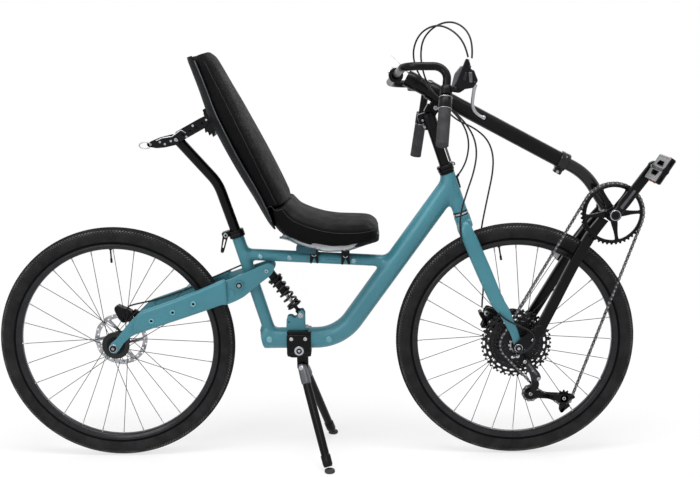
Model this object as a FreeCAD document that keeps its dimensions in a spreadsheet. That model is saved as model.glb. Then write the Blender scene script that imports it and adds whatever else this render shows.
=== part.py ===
import FreeCAD, Part
import math
import os
import Sketcher

from FreeCAD import Placement, Rotation, Vector

# Recumbent bicycle with a rear swingarm and a driven front wheel, parked on a two-legged
# centre stand.
#
# Millimetres, +X forward, +Y to the rider's left, +Z up. Places in this file count from the
# point where the rear tyre meets the floor; place() moves each one into the part's frame,
# whose origin lies on the floor under the middle of the whole bicycle.

DIMENSIONS = (
    # name, value, what it is
    ("origin_x", 619.15, "rear contact point to the part's origin, along the bicycle"),
    ("origin_y", -27.42, "the same, across it"),
    ("wheelbase", 1180.0, "rear axle to front axle"),
    ("wheel_radius", 351.0, "outside of a 700 x 40 tyre"),
    ("tyre_section", 20.0, "half the tyre's width"),
    ("rim_outer", 318.0, "rim's outside radius, under the tyre"),
    ("rim_inner", 288.0, "rim's inside radius, where the spokes enter"),
    ("rim_half_width", 14.0, "half the rim's width at the tyre"),
    ("spoke_radius", 1.0, "one spoke"),
    ("spoke_pairs", 7.0, "groups of four spokes in a wheel"),
    ("axle_radius", 6.0, "wheel axle"),
    ("axle_play", 0.08, "running clearance of a hub on its axle"),
    ("rear_spacing", 50.0, "half the distance between the rear dropouts"),
    ("front_spacing", 67.5, "half the distance between the front dropouts"),
    ("rotor_radius", 80.0, "brake rotor"),
    ("rotor_thickness", 2.0, "brake rotor"),
    ("rear_rotor_side", 38.0, "rear rotor's distance from the middle plane"),
    ("front_rotor_side", 55.0, "front rotor's distance from the middle plane"),
    ("steering_x", 1019.3, "lower end of the head tube, along the bicycle"),
    ("steering_z", 730.8, "lower end of the head tube, above the floor"),
    ("steering_angle", 18.615, "steering axis from the vertical, in degrees"),
    ("head_tube_low", 7.5, "head tube's lower end, up the steering axis"),
    ("head_tube_high", 124.5, "head tube's upper end, up the steering axis"),
    ("head_tube_radius", 21.0, "head tube's outside"),
    ("head_tube_bore", 17.0, "head tube's inside"),
    ("headset_radius", 22.5, "headset cups"),
    ("steerer_radius", 14.3, "steerer and riser"),
    ("main_tube_radius", 31.0, "main tube, bent along the bottom and up to the head"),
    ("main_tube_bend", 135.0, "its bend"),
    ("top_tube_radius", 17.0, "tube under the seat"),
    ("upright_radius", 18.0, "rear upright tube"),
    ("seat_post_radius", 15.0, "bent post behind the seat"),
    ("pivot_shell_radius", 17.0, "swingarm pivot shell"),
    ("pivot_bolt_radius", 5.0, "swingarm pivot bolt"),
    ("shock_eye_radius", 9.0, "damper eyes"),
    ("spring_radius", 21.0, "outside of the coil spring"),
    ("boom_radius", 22.25, "boom"),
    ("boom_length", 500.0, "boom, from its rear end to the collar"),
    ("boom_angle", 28.5, "boom's slope in degrees"),
    ("boom_x", 866.0, "boom's rear end"),
    ("boom_z", 1120.0, "boom's rear end"),
    ("extension_radius", 18.0, "curved boom extension"),
    ("crank_x", 1445.0, "crank axis"),
    ("crank_z", 735.0, "crank axis"),
    ("crank_length", 170.0, "crank axis to pedal axis"),
    ("crank_angle", 53.6, "right crank above the horizontal, in degrees"),
    ("bracket_radius", 21.0, "bottom bracket shell"),
    ("bracket_half_width", 34.0, "bottom bracket shell"),
    ("chain_side", 50.0, "chain's distance from the middle plane"),
    ("chainring_radius", 91.0, "over the teeth of the 44-tooth chainring"),
    ("cassette_radius", 103.0, "over the teeth of the largest cog"),
    ("driven_cog_radius", 51.0, "cog that the chain runs on"),
    ("chain_height", 7.0, "chain plate"),
    ("bar_radius", 11.1, "handlebar"),
    ("grip_radius", 16.5, "handlebar grip"),
    ("bar_twist", -10.4, "handlebar's turn about the boom, in degrees"),
    ("stand_pivot_x", 551.0, "stand leg pivots"),
    ("stand_pivot_y", 20.0, "stand leg pivots from the middle plane"),
    ("stand_pivot_z", 274.0, "stand leg pivots"),
    ("stand_foot_x", 632.0, "feet of the stand"),
    ("stand_foot_y", 150.0, "feet from the middle plane"),
    ("stand_leg_radius", 10.0, "stand leg"),
    ("seat_half_width", 150.0, "seat at the hips"),
)

doc = FreeCAD.newDocument("recumbent_bicycle")
sheet = doc.addObject("Spreadsheet::Sheet", "dims")
for row, (name, value, note) in enumerate(DIMENSIONS, start=1):
    sheet.set("A%d" % row, name)
    sheet.set("B%d" % row, str(value))
    sheet.set("C%d" % row, note)
    sheet.setAlias("B%d" % row, name)
doc.recompute()


class Size(float):
    """A sheet dimension, or a sum made of them: a number that knows its expression."""

    def __new__(cls, value, text):
        number = float.__new__(cls, value)
        number.text = text
        return number

    def __add__(self, other):
        return joined(self, "+", other, float(self) + float(other))

    def __radd__(self, other):
        return joined(other, "+", self, float(other) + float(self))

    def __sub__(self, other):
        return joined(self, "-", other, float(self) - float(other))

    def __rsub__(self, other):
        return joined(other, "-", self, float(other) - float(self))

    def __mul__(self, other):
        return joined(self, "*", other, float(self) * float(other))

    def __rmul__(self, other):
        return joined(other, "*", self, float(other) * float(self))

    def __truediv__(self, other):
        return joined(self, "/", other, float(self) / float(other))

    def __neg__(self):
        return joined(0, "-", self, -float(self))


def words(amount):
    return amount.text if isinstance(amount, Size) else repr(float(amount))


def joined(left, sign, right, value):
    return Size(value, "(%s %s %s)" % (words(left), sign, words(right)))


class Sheet:
    """dim.NAME is the dimension of that name."""

    def __getattr__(self, name):
        return Size(float(sheet.get(name)), "dims." + name)


dim = Sheet()

# ---------------------------------------------------------------- helpers

ALONG_X = Vector(1, 0, 0)
ALONG_Y = Vector(0, 1, 0)
ALONG_Z = Vector(0, 0, 1)
RIGHT, LEFT = -1, 1
SIDES = ((RIGHT, "right"), (LEFT, "left"))

nodes = {}


def keep(thing, label=None):
    """Mark an object as one of the bicycle's sub-parts, written to its own file."""
    thing.Label = label or thing.Label
    nodes[thing.Label] = thing
    return thing


def bind(thing, name, amount):
    setattr(thing, name, float(amount))
    if isinstance(amount, Size):
        thing.setExpression(name, amount.text)


def place(thing, position, rotation=None):
    x, y, z = position
    spot = (x - dim.origin_x, y - dim.origin_y, z)
    thing.Placement = Placement(Vector(*[float(v) for v in spot]), rotation or Rotation())
    for letter, amount in zip("xyz", spot):
        if isinstance(amount, Size):
            thing.setExpression("Placement.Base." + letter, amount.text)
    return thing


def cylinder(label, radius, height, position, direction=ALONG_Y):
    made = doc.addObject("Part::Cylinder", label)
    bind(made, "Radius", radius)
    bind(made, "Height", height)
    return place(made, position, Rotation(ALONG_Z, direction))


def across(label, radius, half_width, x, z, y=0.0):
    """A cylinder along Y, centred on y."""
    return cylinder(label, radius, half_width * 2, (x, y - half_width, z))


def rod(label, radius, start, end):
    """A cylinder from one point to another."""
    run = Vector(*[float(b) - float(a) for a, b in zip(start, end)])
    return cylinder(label, radius, run.Length, start, run)


def block(label, sizes, centre, rotation=None):
    """A box by its three sizes, centred, then turned about its centre."""
    made = doc.addObject("Part::Box", label)
    for name, amount in zip(("Length", "Width", "Height"), sizes):
        bind(made, name, amount)
    turn = rotation or Rotation()
    offset = turn.multVec(Vector(*[-float(v) / 2 for v in sizes]))
    return place(made, [float(c) + o for c, o in zip(centre, offset)], turn)


def fused(label, *things):
    made = doc.addObject("Part::MultiFuse", label)
    made.Shapes = list(things)
    return made


def together(label, *things):
    """Solids that don't touch, in one node."""
    made = doc.addObject("Part::Compound", label)
    made.Links = list(things)
    return made


def cut(label, base, *tools):
    """Base with the tools' space taken away; the tools stay as they are."""
    for number, tool in enumerate(tools):
        made = doc.addObject("Part::Cut", "%s_cut_%d" % (label, number))
        made.Base = base
        made.Tool = tool
        base = made
    base.Label = label
    return base


def feature(label, shape, position=(0, 0, 0), rotation=None):
    """A Part::Feature, for shapes that neither sketches nor primitives give."""
    made = doc.addObject("Part::Feature", label)
    made.Shape = shape
    return place(made, position, rotation)


def origin_plane(body, role):
    return next(f for f in body.Origin.OriginFeatures if f.Role == role)


def sketch_on(body, role, label):
    made = body.newObject("Sketcher::SketchObject", label)
    made.AttachmentSupport = [(origin_plane(body, role), "")]
    made.MapMode = "FlatFace"
    return made


def draw_outline(sketch, points):
    """A closed outline of straight lines; a bound coordinate is a driving constraint."""
    count = len(points)
    spots = [Vector(float(a), float(b), 0) for a, b in points]
    for index in range(count):
        sketch.addGeometry(Part.LineSegment(spots[index], spots[(index + 1) % count]), False)
    for index in range(count):
        follower = (index + 1) % count
        sketch.addConstraint(Sketcher.Constraint("Coincident", index, 2, follower, 1))
    for index, pair in enumerate(points):
        for kind, amount in zip(("DistanceX", "DistanceY"), pair):
            number = sketch.addConstraint(
                Sketcher.Constraint(kind, -1, 1, index, 1, float(amount)))
            if isinstance(amount, Size):
                sketch.setExpression("Constraints[%d]" % number, amount.text)


def turned(label, profile, position):
    """A body of revolution about Y; profile is (radius, y) pairs."""
    body = doc.addObject("PartDesign::Body", label)
    sketch = sketch_on(body, "XY_Plane", label + "_profile")
    draw_outline(sketch, profile)
    round_it = body.newObject("PartDesign::Revolution", label + "_turn")
    round_it.Profile = sketch
    round_it.ReferenceAxis = (sketch, ["V_Axis"])
    round_it.Angle = 360
    return place(body, position)


def plate(label, outline, thickness, y, position=(0, 0)):
    """A flat piece standing in the XZ plane; outline is (x, z) pairs, y its middle."""
    body = doc.addObject("PartDesign::Body", label)
    sketch = sketch_on(body, "XZ_Plane", label + "_outline")
    draw_outline(sketch, outline)
    pad = body.newObject("PartDesign::Pad", label + "_pad")
    pad.Profile = sketch
    bind(pad, "Length", thickness)
    pad.Midplane = True
    return place(body, (position[0], y, position[1]))


def bent_wire(points, bends):
    """Straight runs joined by tangent arcs; bends holds a radius for each inner point."""
    spots = [Vector(*[float(v) for v in p]) for p in points]
    edges = []
    start = spots[0]
    for index, radius in enumerate(bends, start=1):
        corner = spots[index]
        back = (spots[index - 1] - corner).normalize()
        ahead = (spots[index + 1] - corner).normalize()
        half = math.acos(max(-1, min(1, back.dot(ahead)))) / 2
        reach = radius / math.tan(half)
        middle = (back + ahead).normalize()
        first = corner + back * reach
        last = corner + ahead * reach
        crown = corner + middle * (radius / math.sin(half) - radius)
        if (first - start).Length > 1e-6:
            edges.append(Part.LineSegment(start, first).toShape())
        edges.append(Part.Arc(first, crown, last).toShape())
        start = last
    if (spots[-1] - start).Length > 1e-6:
        edges.append(Part.LineSegment(start, spots[-1]).toShape())
    return Part.Wire(edges)


def bent_tube(label, radius, points, bends, rotation=None, pivot=(0, 0, 0)):
    """A round tube along bent_wire, as a sweep of a circle; it may be turned about pivot."""
    local = [[float(a) - float(b) for a, b in zip(p, pivot)] for p in points]
    path = doc.addObject("Part::Feature", label + "_path")
    path.Shape = bent_wire(local, bends)
    ring = doc.addObject("Part::Circle", label + "_ring")
    bind(ring, "Radius", radius)
    run = Vector(*[b - a for a, b in zip(local[0], local[1])])
    ring.Placement = Placement(Vector(*local[0]), Rotation(ALONG_Z, run))
    made = doc.addObject("Part::Sweep", label)
    made.Sections = [ring]
    made.Spine = (path, [])
    made.Solid = True
    made.Frenet = True
    return place(made, pivot, rotation)


def stadium(centre, along, across_dir, height, width):
    """A rounded rectangle: height along one direction, width across, corners rounded."""
    corner = 0.32 * min(height, width)
    up, side = along * (height / 2), across_dir * (width / 2)
    up_in, side_in = along * (height / 2 - corner), across_dir * (width / 2 - corner)
    diagonal = 1 - math.sqrt(0.5)
    edges = []
    quads = ((1, 1), (-1, 1), (-1, -1), (1, -1))
    ends = []
    for a, b in quads:
        tall = centre + up * a + side_in * b
        wide = centre + up_in * a + side * b
        tip = centre + up * a + side * b
        crown = tip - (along * a + across_dir * b) * (corner * diagonal)
        ends.append((tall, crown, wide) if a * b > 0 else (wide, crown, tall))
    for index, (first, crown, last) in enumerate(ends):
        edges.append(Part.Arc(first, crown, last).toShape())
        following = ends[(index + 1) % 4][0]
        edges.append(Part.LineSegment(last, following).toShape())
    return Part.Wire(edges)


def limb(label, stations, slope):
    """A boxy arm: stations are (x, z, y, height, width), sections lean by slope degrees."""
    lean = math.radians(slope)
    along = Vector(-math.sin(lean), 0, math.cos(lean))
    rings = [stadium(Vector(x, y, z), along, ALONG_Y, height, width)
             for x, z, y, height, width in stations]
    return feature(label, Part.makeLoft(rings, True, True))


# ---------------------------------------------------------------- steering axis

LEAN = math.radians(float(dim.steering_angle))
AXIS = Vector(-math.sin(LEAN), 0, math.cos(LEAN))
BOOM_SLOPE = math.radians(float(dim.boom_angle))
BOOM = Vector(math.cos(BOOM_SLOPE), 0, -math.sin(BOOM_SLOPE))


def on_axis(distance):
    """The point of the steering axis this far above the head tube's lower end."""
    return (dim.steering_x + AXIS.x * distance, 0.0, dim.steering_z + AXIS.z * distance)


def on_boom(distance, y=0.0):
    return (dim.boom_x + BOOM.x * distance, y, dim.boom_z + BOOM.z * distance)


def about_axis(label, radius, low, high):
    """A cylinder on the steering axis between two distances from the head tube's foot."""
    return cylinder(label, radius, high - low, on_axis(low), AXIS)


# ---------------------------------------------------------------- wheels

def tyre(label, x):
    body = doc.addObject("PartDesign::Body", label)
    sketch = sketch_on(body, "XY_Plane", label + "_profile")
    section = float(dim.tyre_section)
    ring = float(dim.wheel_radius) - section
    drop = ring - float(dim.rim_outer)
    half = math.sqrt(section ** 2 - drop ** 2)
    seat = math.atan2(half, -drop)
    arc = Part.ArcOfCircle(Part.Circle(Vector(ring, 0, 0), ALONG_Z, section), -seat, seat)
    sketch.addGeometry(arc, False)
    sketch.addGeometry(Part.LineSegment(arc.EndPoint, arc.StartPoint), False)
    sketch.addConstraint(Sketcher.Constraint("Coincident", 0, 2, 1, 1))
    sketch.addConstraint(Sketcher.Constraint("Coincident", 1, 2, 0, 1))
    radius = sketch.addConstraint(Sketcher.Constraint("Radius", 0, section))
    centre = sketch.addConstraint(Sketcher.Constraint("DistanceX", -1, 1, 0, 3, ring))
    sketch.addConstraint(Sketcher.Constraint("PointOnObject", 0, 3, -1))
    seat_x = sketch.addConstraint(
        Sketcher.Constraint("DistanceX", -1, 1, 0, 1, float(dim.rim_outer)))
    sketch.addConstraint(Sketcher.Constraint("Vertical", 1))
    sketch.setExpression("Constraints[%d]" % radius, "dims.tyre_section")
    sketch.setExpression("Constraints[%d]" % centre, (dim.wheel_radius - dim.tyre_section).text)
    sketch.setExpression("Constraints[%d]" % seat_x, "dims.rim_outer")
    round_it = body.newObject("PartDesign::Revolution", label + "_turn")
    round_it.Profile = sketch
    round_it.ReferenceAxis = (sketch, ["V_Axis"])
    round_it.Angle = 360
    return keep(place(body, (x, 0, dim.wheel_radius)))


def rim(label, x):
    outer, inner, half = dim.rim_outer, dim.rim_inner, dim.rim_half_width
    profile = ((outer, half), (outer, -half), (outer - 14, -half + 1), (inner, -half + 6),
               (inner, half - 6), (outer - 14, half - 1))
    return keep(turned(label, profile, (x, 0, dim.wheel_radius)))


def spokes(label, x, flanges):
    """Crossed spokes; flanges are (y, radius) of the two hub flanges."""
    made = []
    turns = int(dim.spoke_pairs)
    reach = float(dim.rim_inner) + 2
    for group in range(turns):
        for place_in_group, (side, sweep) in enumerate(((0, 1), (1, 1), (0, -1), (1, -1))):
            y, radius = flanges[side]
            rim_angle = 2 * math.pi * (group + place_in_group / 4) / turns
            hub_angle = rim_angle + sweep * math.radians(62)
            hub_y = y + (1.2 if sweep > 0 else -1.2)
            start = Vector(radius * math.cos(hub_angle), hub_y, radius * math.sin(hub_angle))
            end = Vector(reach * math.cos(rim_angle), math.copysign(3.0, y),
                         reach * math.sin(rim_angle))
            run = end - start
            made.append(Part.makeCylinder(float(dim.spoke_radius), run.Length, start, run))
    return keep(feature(label, Part.makeCompound(made), (x, 0, dim.wheel_radius)))


def rotor(label, x, y):
    """Brake rotor: a drilled ring on six swept arms."""
    thick = float(dim.rotor_thickness)
    back = Vector(0, -thick / 2, 0)
    outer = float(dim.rotor_radius)

    def disc(radius):
        return Part.makeCylinder(radius, thick, back, ALONG_Y)

    ring_inside, carrier, bore, arm_wide = outer - 15, 24, 17, 7
    shape = disc(outer).cut(disc(ring_inside)).fuse(disc(carrier).cut(disc(bore)))
    for number in range(6):
        arm = Part.makeBox(ring_inside - carrier + 5, thick, arm_wide,
                           Vector(carrier - 2, -thick / 2, -arm_wide / 2))
        arm.rotate(Vector(0, 0, 0), ALONG_Y, 24)
        arm.rotate(Vector(0, 0, 0), ALONG_Y, 60 * number)
        shape = shape.fuse(arm)
    return keep(feature(label, shape.removeSplitter(), (x, y, dim.wheel_radius)))


def hub(label, x, profile):
    bore = dim.axle_radius + dim.axle_play
    outline = [(bore, profile[0][1])] + list(profile) + [(bore, profile[-1][1])]
    return keep(turned(label, outline, (x, 0, dim.wheel_radius)))


rear_end = dim.rear_spacing - 0.5
front_end = dim.front_spacing - 0.5

tyre("rear_tyre", 0)
rim("rear_rim", 0)
spokes("rear_spokes", 0, ((-24, 24), (24, 27)))
hub("rear_hub", 0, (
    # radius, y
    (9, -rear_end), (9, -34), (41, -31), (41, -27), (26, -26), (26, -22), (15, -19), (15, 18),
    (29, 21), (29, 27), (20, 28), (20, 36.6), (17, 36.6), (17, 42), (9, 43), (9, rear_end)))
rotor("rear_rotor", 0, dim.rear_rotor_side)

tyre("front_tyre", dim.wheelbase)
rim("front_rim", dim.wheelbase)
spokes("front_spokes", dim.wheelbase, ((-22, 25), (34, 27)))
hub("front_hub", dim.wheelbase, (
    (9, -front_end), (17, -66), (17, -28), (27, -25), (27, -19), (15, -16), (15, 29),
    (29, 32), (29, 37), (20, 38), (20, dim.front_rotor_side - 1.4),
    (17, dim.front_rotor_side - 1.4), (17, 59), (9, 60), (9, front_end)))
rotor("front_rotor", dim.wheelbase, dim.front_rotor_side)

# Cogs as one stepped disc: the radius of each over its teeth, from the smallest, which is the
# outermost, COG_STEP apart.
COGS = (22, 26, 29, 33, 38, 44, dim.driven_cog_radius, 58, 67, 79, 91, dim.cassette_radius)
COG_STEP = 2.5
cog_profile = [(17.2, -dim.chain_side - 15)]
for number, radius in enumerate(COGS):
    low = -dim.chain_side - 15 + number * COG_STEP
    cog_profile += [(radius, low), (radius, low + COG_STEP)]
cog_profile.append((17.2, -dim.chain_side - 15 + len(COGS) * COG_STEP))
keep(turned("cassette", cog_profile, (dim.wheelbase, 0, dim.wheel_radius)))

# ---------------------------------------------------------------- frame tubes

head_outside = about_axis("head_outside", dim.head_tube_radius, dim.head_tube_low,
                          dim.head_tube_high)
head_bore = about_axis("head_bore", dim.head_tube_bore, 0, dim.head_tube_high + 5)
keep(cut("head_tube", head_outside, head_bore))

MAIN_END = (415.0, 362.0)       # rear end of the bottom run, before its sloping cut
MAIN_CORNER = (662.7, 362.0)    # where the two runs of the main tube would meet
MAIN_HEAD = on_axis(90)         # where its middle line meets the steering axis
main_run = bent_tube(
    "main_run", dim.main_tube_radius,
    ((MAIN_END[0], 0, MAIN_END[1]), (MAIN_CORNER[0], 0, MAIN_CORNER[1]), MAIN_HEAD),
    (float(dim.main_tube_bend),))
END_CUT_LEAN = -12.2            # slope of the rear end's face
main_tube = keep(cut(
    "main_tube", main_run,
    about_axis("head_clearance", dim.head_tube_radius, -40, dim.head_tube_high + 60),
    block("end_cut", (40, 80, 110), (411.9, 0, 361.8), Rotation(ALONG_Y, END_CUT_LEAN))))

UPRIGHT_FOOT = (461.0, 0, 362.0)
UPRIGHT_TOP = (368.3, 0, 673.0)
upright_run = rod("upright_run", dim.upright_radius, UPRIGHT_FOOT, UPRIGHT_TOP)

TOP_REAR = (395.0, 0, 616.8)
TOP_FRONT = (835.0, 0, 591.0)
top_run = rod("top_run", dim.top_tube_radius, TOP_REAR, TOP_FRONT)
keep(cut("top_tube", top_run, upright_run, main_tube))

PIVOT = (375.5, 536.4)
pivot_bolt = keep(fused(
    "pivot_bolt",
    across("pivot_shank", dim.pivot_bolt_radius, 62, PIVOT[0], PIVOT[1]),
    across("pivot_head_right", dim.pivot_bolt_radius + 4, 2.5, PIVOT[0], PIVOT[1], -64.5),
    across("pivot_head_left", dim.pivot_bolt_radius + 4, 2.5, PIVOT[0], PIVOT[1], 64.5)))
pivot_shell = across("pivot_shell", dim.pivot_shell_radius, 30, PIVOT[0], PIVOT[1])
keep(cut("upright_tube", fused("upright_solid", upright_run, pivot_shell), main_tube,
         pivot_bolt))


def ring_on_axis(label, radius, bore, low, high):
    return cut(label, about_axis(label + "_out", radius, low, high),
               about_axis(label + "_in", bore, low - 1, high + 1))


CUP_TALL = 11
cups = [ring_on_axis("cup_%s" % word, dim.headset_radius, dim.head_tube_bore, low, low + tall)
        for word, low, tall in (("lower", dim.head_tube_low - CUP_TALL, CUP_TALL),
                                ("upper", dim.head_tube_high, 6))]
keep(together("headset_cups", *cups))

# ---------------------------------------------------------------- swingarm and shock

SWINGARM_SLOPE = 20.8
ARM_STATIONS = (
    # x, z, y, height, width
    (-16, 345, 57, 20, 8), (8, 352, 57, 32, 9), (48, 382, 59, 40, 12), (72, 412, 62, 52, 17),
    (104, 436, 66, 62, 20), (210, 474, 67, 63, 22), (318, 514, 62, 67, 22),
    (380, 535, 45, 56, 20), (412, 553, 32, 38, 10), (440, 567, 27, 32, 7),
    (468, 579, 27, 22, 7))
rear_axle = keep(fused(
    "rear_axle",
    across("rear_shank", dim.axle_radius, 66, 0, dim.wheel_radius),
    across("rear_nut_right", 10, 3, 0, dim.wheel_radius, -64.5),
    across("rear_nut_left", 10, 3, 0, dim.wheel_radius, 64.5)))
SHOCK_TOP = (453.8, 573.0)
SHOCK_FOOT = (548.7, 433.8)
shock_top_bolt = across("shock_top_bolt", 4, 33, SHOCK_TOP[0], SHOCK_TOP[1])
BOSSES = ((120.1, 437.6), (183.0, 462.7), (243.9, 487.4))   # x, z of the threaded bosses
BOSS_FACE, BOSS_DEPTH = 79.5, 14.0
for side, word in SIDES:
    outward = ALONG_Y * side
    stations = [(x, z, side * y, tall, wide) for x, z, y, tall, wide in ARM_STATIONS]
    bosses = [cylinder("boss_%s_%d" % (word, n), 6.5, 12, (x, side * (BOSS_FACE - 12), z),
                       outward) for n, (x, z) in enumerate(BOSSES)]
    threads = [cylinder("thread_%s_%d" % (word, n), 2.5, BOSS_DEPTH,
                        (x, side * (BOSS_FACE - BOSS_DEPTH), z), outward)
               for n, (x, z) in enumerate(BOSSES)]
    arm = limb("swingarm_%s_solid" % word, stations, SWINGARM_SLOPE)
    bridge = cylinder("bridge_" + word, 14, 60, (348, 0, 512), ALONG_Y * side)
    keep(cut("swingarm_" + word, fused("arm_and_bridge_" + word, arm, bridge, *bosses),
             rear_axle, pivot_bolt, shock_top_bolt, *threads))

shock_run = Vector(SHOCK_FOOT[0] - SHOCK_TOP[0], 0, SHOCK_FOOT[1] - SHOCK_TOP[1])
shock_way = shock_run * (1 / shock_run.Length)


def on_shock(distance):
    return (SHOCK_TOP[0] + shock_way.x * distance, 0, SHOCK_TOP[1] + shock_way.z * distance)


SPRING_START, SPRING_END = 40, 132      # along the shock, from its top bolt
shock_foot_bolt = across("shock_foot_bolt", 4, 20, SHOCK_FOOT[0], SHOCK_FOOT[1])
shock_core = fused(
    "shock_core",
    across("shock_top_eye", dim.shock_eye_radius, 11, SHOCK_TOP[0], SHOCK_TOP[1]),
    across("shock_foot_eye", dim.shock_eye_radius, 11, SHOCK_FOOT[0], SHOCK_FOOT[1]),
    rod("shock_barrel", 13, on_shock(8), on_shock(92)),
    rod("shock_shaft", 5.5, on_shock(90), on_shock(162)),
    rod("shock_seat_top", 23, on_shock(SPRING_START - 6), on_shock(SPRING_START)),
    rod("shock_seat_foot", 23, on_shock(SPRING_END), on_shock(SPRING_END + 6)))
keep(fused("shock_damper", shock_core, shock_top_bolt, shock_foot_bolt))
keep(cut("shock_spring",
         rod("spring_out", dim.spring_radius, on_shock(SPRING_START), on_shock(SPRING_END)),
         rod("spring_in", dim.spring_radius - 5.5, on_shock(SPRING_START - 1),
             on_shock(SPRING_END + 1))))
mount_outline = ((508, 380), (508, 428), (536, 450), (560, 444), (570, 420), (570, 380))
mount_plates = [plate("shock_plate_" + word, mount_outline, 5, side * 15)
                for side, word in SIDES]
mount_foot = block("mount_foot", (62, 35, 12), (539, 0, 394))
keep(cut("shock_mount", fused("mount_solid", mount_foot, *mount_plates), main_tube,
         shock_foot_bolt))

# ---------------------------------------------------------------- stand bracket

bracket_block = block("bracket_block", (72, 72, 68), (543, 0, 345))
PIVOT_X, PIVOT_Y, PIVOT_Z = dim.stand_pivot_x, dim.stand_pivot_y, dim.stand_pivot_z
stand_head = block("stand_head", (34, 24, 62), (PIVOT_X, 0, 286))

# ---------------------------------------------------------------- stand legs

# Each leg turns on its own pin in the head. The way that a folded leg points sets the pin's
# direction, square to both the standing and the folded leg.
FOLDED = {"left": Vector(-0.97, 0.22, -0.03), "right": Vector(-0.93, 0.31, -0.31)}
PIN_RADIUS, PIN_PLAY = 5.0, 0.06
pin_holes = []
for side, word in SIDES:
    pivot = Vector(float(PIVOT_X), side * float(PIVOT_Y), float(PIVOT_Z))
    foot = Vector(float(dim.stand_foot_x), side * float(dim.stand_foot_y), 0)
    down = (foot - pivot).normalize()
    hinge = down.cross(FOLDED[word]).normalize()
    angle = math.degrees(down.getAngle(FOLDED[word]))
    print("stand_%s pivot %s axis %s fold %.3f deg" % (
        word, tuple(round(v, 3) for v in pivot), tuple(round(v, 6) for v in hinge), angle))
    inward = hinge * (-1 if hinge.y * side > 0 else 1)
    ankle = foot - down * 24
    shank = rod("leg_shank_" + word, dim.stand_leg_radius, pivot + down * 20, ankle)
    knuckle = rod("leg_knuckle_" + word, 13, pivot - inward * 8, pivot + inward * 5)
    cheek = rod("leg_cheek_" + word, 9, pivot - inward * 3, pivot - inward * 3 + down * 34)
    pin = rod("leg_pin_" + word, PIN_RADIUS, pivot, pivot + inward * 16)
    pad = rod("leg_pad_" + word, 15, (foot.x, foot.y, 0), (foot.x, foot.y, 9))
    tip = rod("leg_tip_" + word, 12, ankle, foot - down * 4)
    floor_cut = block("floor_" + word, (120, 120, 30), (foot.x, foot.y, -15))
    pin_holes.append(rod("pin_hole_" + word, PIN_RADIUS + PIN_PLAY, pivot, pivot + inward * 17))
    pin_holes.append(rod("knuckle_room_" + word, 14, pivot - inward * 8, pivot + inward * 6))
    sweep_room = rod("sweep_room_" + word, 34, pivot - inward * 12, pivot + inward * 12)
    pin_holes.append(cut("leg_room_" + word, sweep_room,
                         rod("pin_seat_" + word, 13.4, pivot + inward * 6, pivot + inward * 13)))
    keep(cut("stand_leg_" + word,
             fused("leg_solid_" + word, shank, knuckle, cheek, pin, pad, tip), floor_cut))
keep(cut("stand_bracket", fused("bracket_solid", bracket_block, stand_head), main_tube,
         *pin_holes))

# ---------------------------------------------------------------- seat

seat_post = keep(bent_tube("seat_post", dim.seat_post_radius,
                           ((367.9, 0, 674.4), (318.0, 0, 827.6), (208.0, 0, 953.5)), (140,)))
clamp_low = (369.6, 0, 668.5)
clamp_high = (363.5, 0, 689.0)
keep(cut("seat_post_clamp", fused(
    "clamp_solid", rod("clamp_collar", 23, clamp_low, clamp_high),
    block("clamp_ears", (26, 26, 18), (338, 0, 678)),
    rod("clamp_lever", 4, (338, -16, 672), (327, -20, 622))), seat_post, upright_run))


def side_slab(label, outline, half_width):
    """The side outline carried straight across the seat."""
    return plate(label, outline, half_width * 2, 0)


BACK_REAR = ((245, 1184), (278, 1093), (298.5, 1030), (336.4, 947), (392.5, 845), (445, 747))
SHELL = 9.0
SHELL_FORWARD, SHELL_UP = SHELL * 1.35, SHELL * 0.6     # across the sloping back
shell_front = [(x + SHELL_FORWARD, z + SHELL_UP) for x, z in BACK_REAR]
back_profile = list(BACK_REAR) + [(458, 709)] + [(470, 716)] + shell_front[::-1]
front_view = ((-66, 700), (-150, 720), (-150, 800), (-118, 1000), (-96, 1150), (-60, 1200),
              (60, 1200), (96, 1150), (118, 1000), (150, 800), (150, 720), (66, 700))


def front_slab(label, outline, x_low, x_high):
    """The front outline, (y, z) pairs, carried straight along the seat."""
    body = doc.addObject("PartDesign::Body", label)
    sketch = sketch_on(body, "YZ_Plane", label + "_outline")
    draw_outline(sketch, outline)
    pad = body.newObject("PartDesign::Pad", label + "_pad")
    pad.Profile = sketch
    bind(pad, "Length", x_high - x_low)
    return place(body, (x_low, 0, 0))


def tapered(label, side_outline, front_outline, x_range):
    made = doc.addObject("Part::Common", label)
    made.Base = side_slab(label + "_side", side_outline, dim.seat_half_width)
    made.Tool = front_slab(label + "_front", front_outline, *x_range)
    return keep(made)


back_shell = tapered("back_shell", back_profile, front_view, (200, 600))
cushion_rear = [(x + SHELL_FORWARD + 1.35, z + SHELL_UP + 0.54) for x, z in BACK_REAR]
back_cushion_profile = (
    cushion_rear[:-1] + [(450.5, 768), (531, 789), (515, 818), (455, 940),
                         (390, 1066), (322, 1184), (300, 1207), (266, 1204)])
cushion_view = ((-60, 700), (-144, 722), (-144, 800), (-112, 1000), (-90, 1150), (-56, 1209),
                (56, 1209), (90, 1150), (112, 1000), (144, 800), (144, 722), (60, 700))
tapered("back_cushion", back_cushion_profile, cushion_view, (200, 620))
base_profile = ((484, 775.5), (531, 788), (550, 766), (590, 741), (640, 725), (690, 720),
                (745, 720), (775, 712), (785, 692), (772, 664), (726, 645), (623, 633),
                (549, 653), (508, 678), (500, 714))
plan_half = dim.seat_half_width - 6
keep(side_slab("base_cushion", base_profile, plan_half))
pan_profile = ((496, 668), (504, 675), (549, 652), (623, 632), (726, 644), (745, 652),
               (738, 637), (700, 622), (623, 617), (549, 639))
seat_pan = side_slab("pan_solid", pan_profile, dim.seat_half_width - 20)
keep(cut("seat_pan", seat_pan, top_run))

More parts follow.
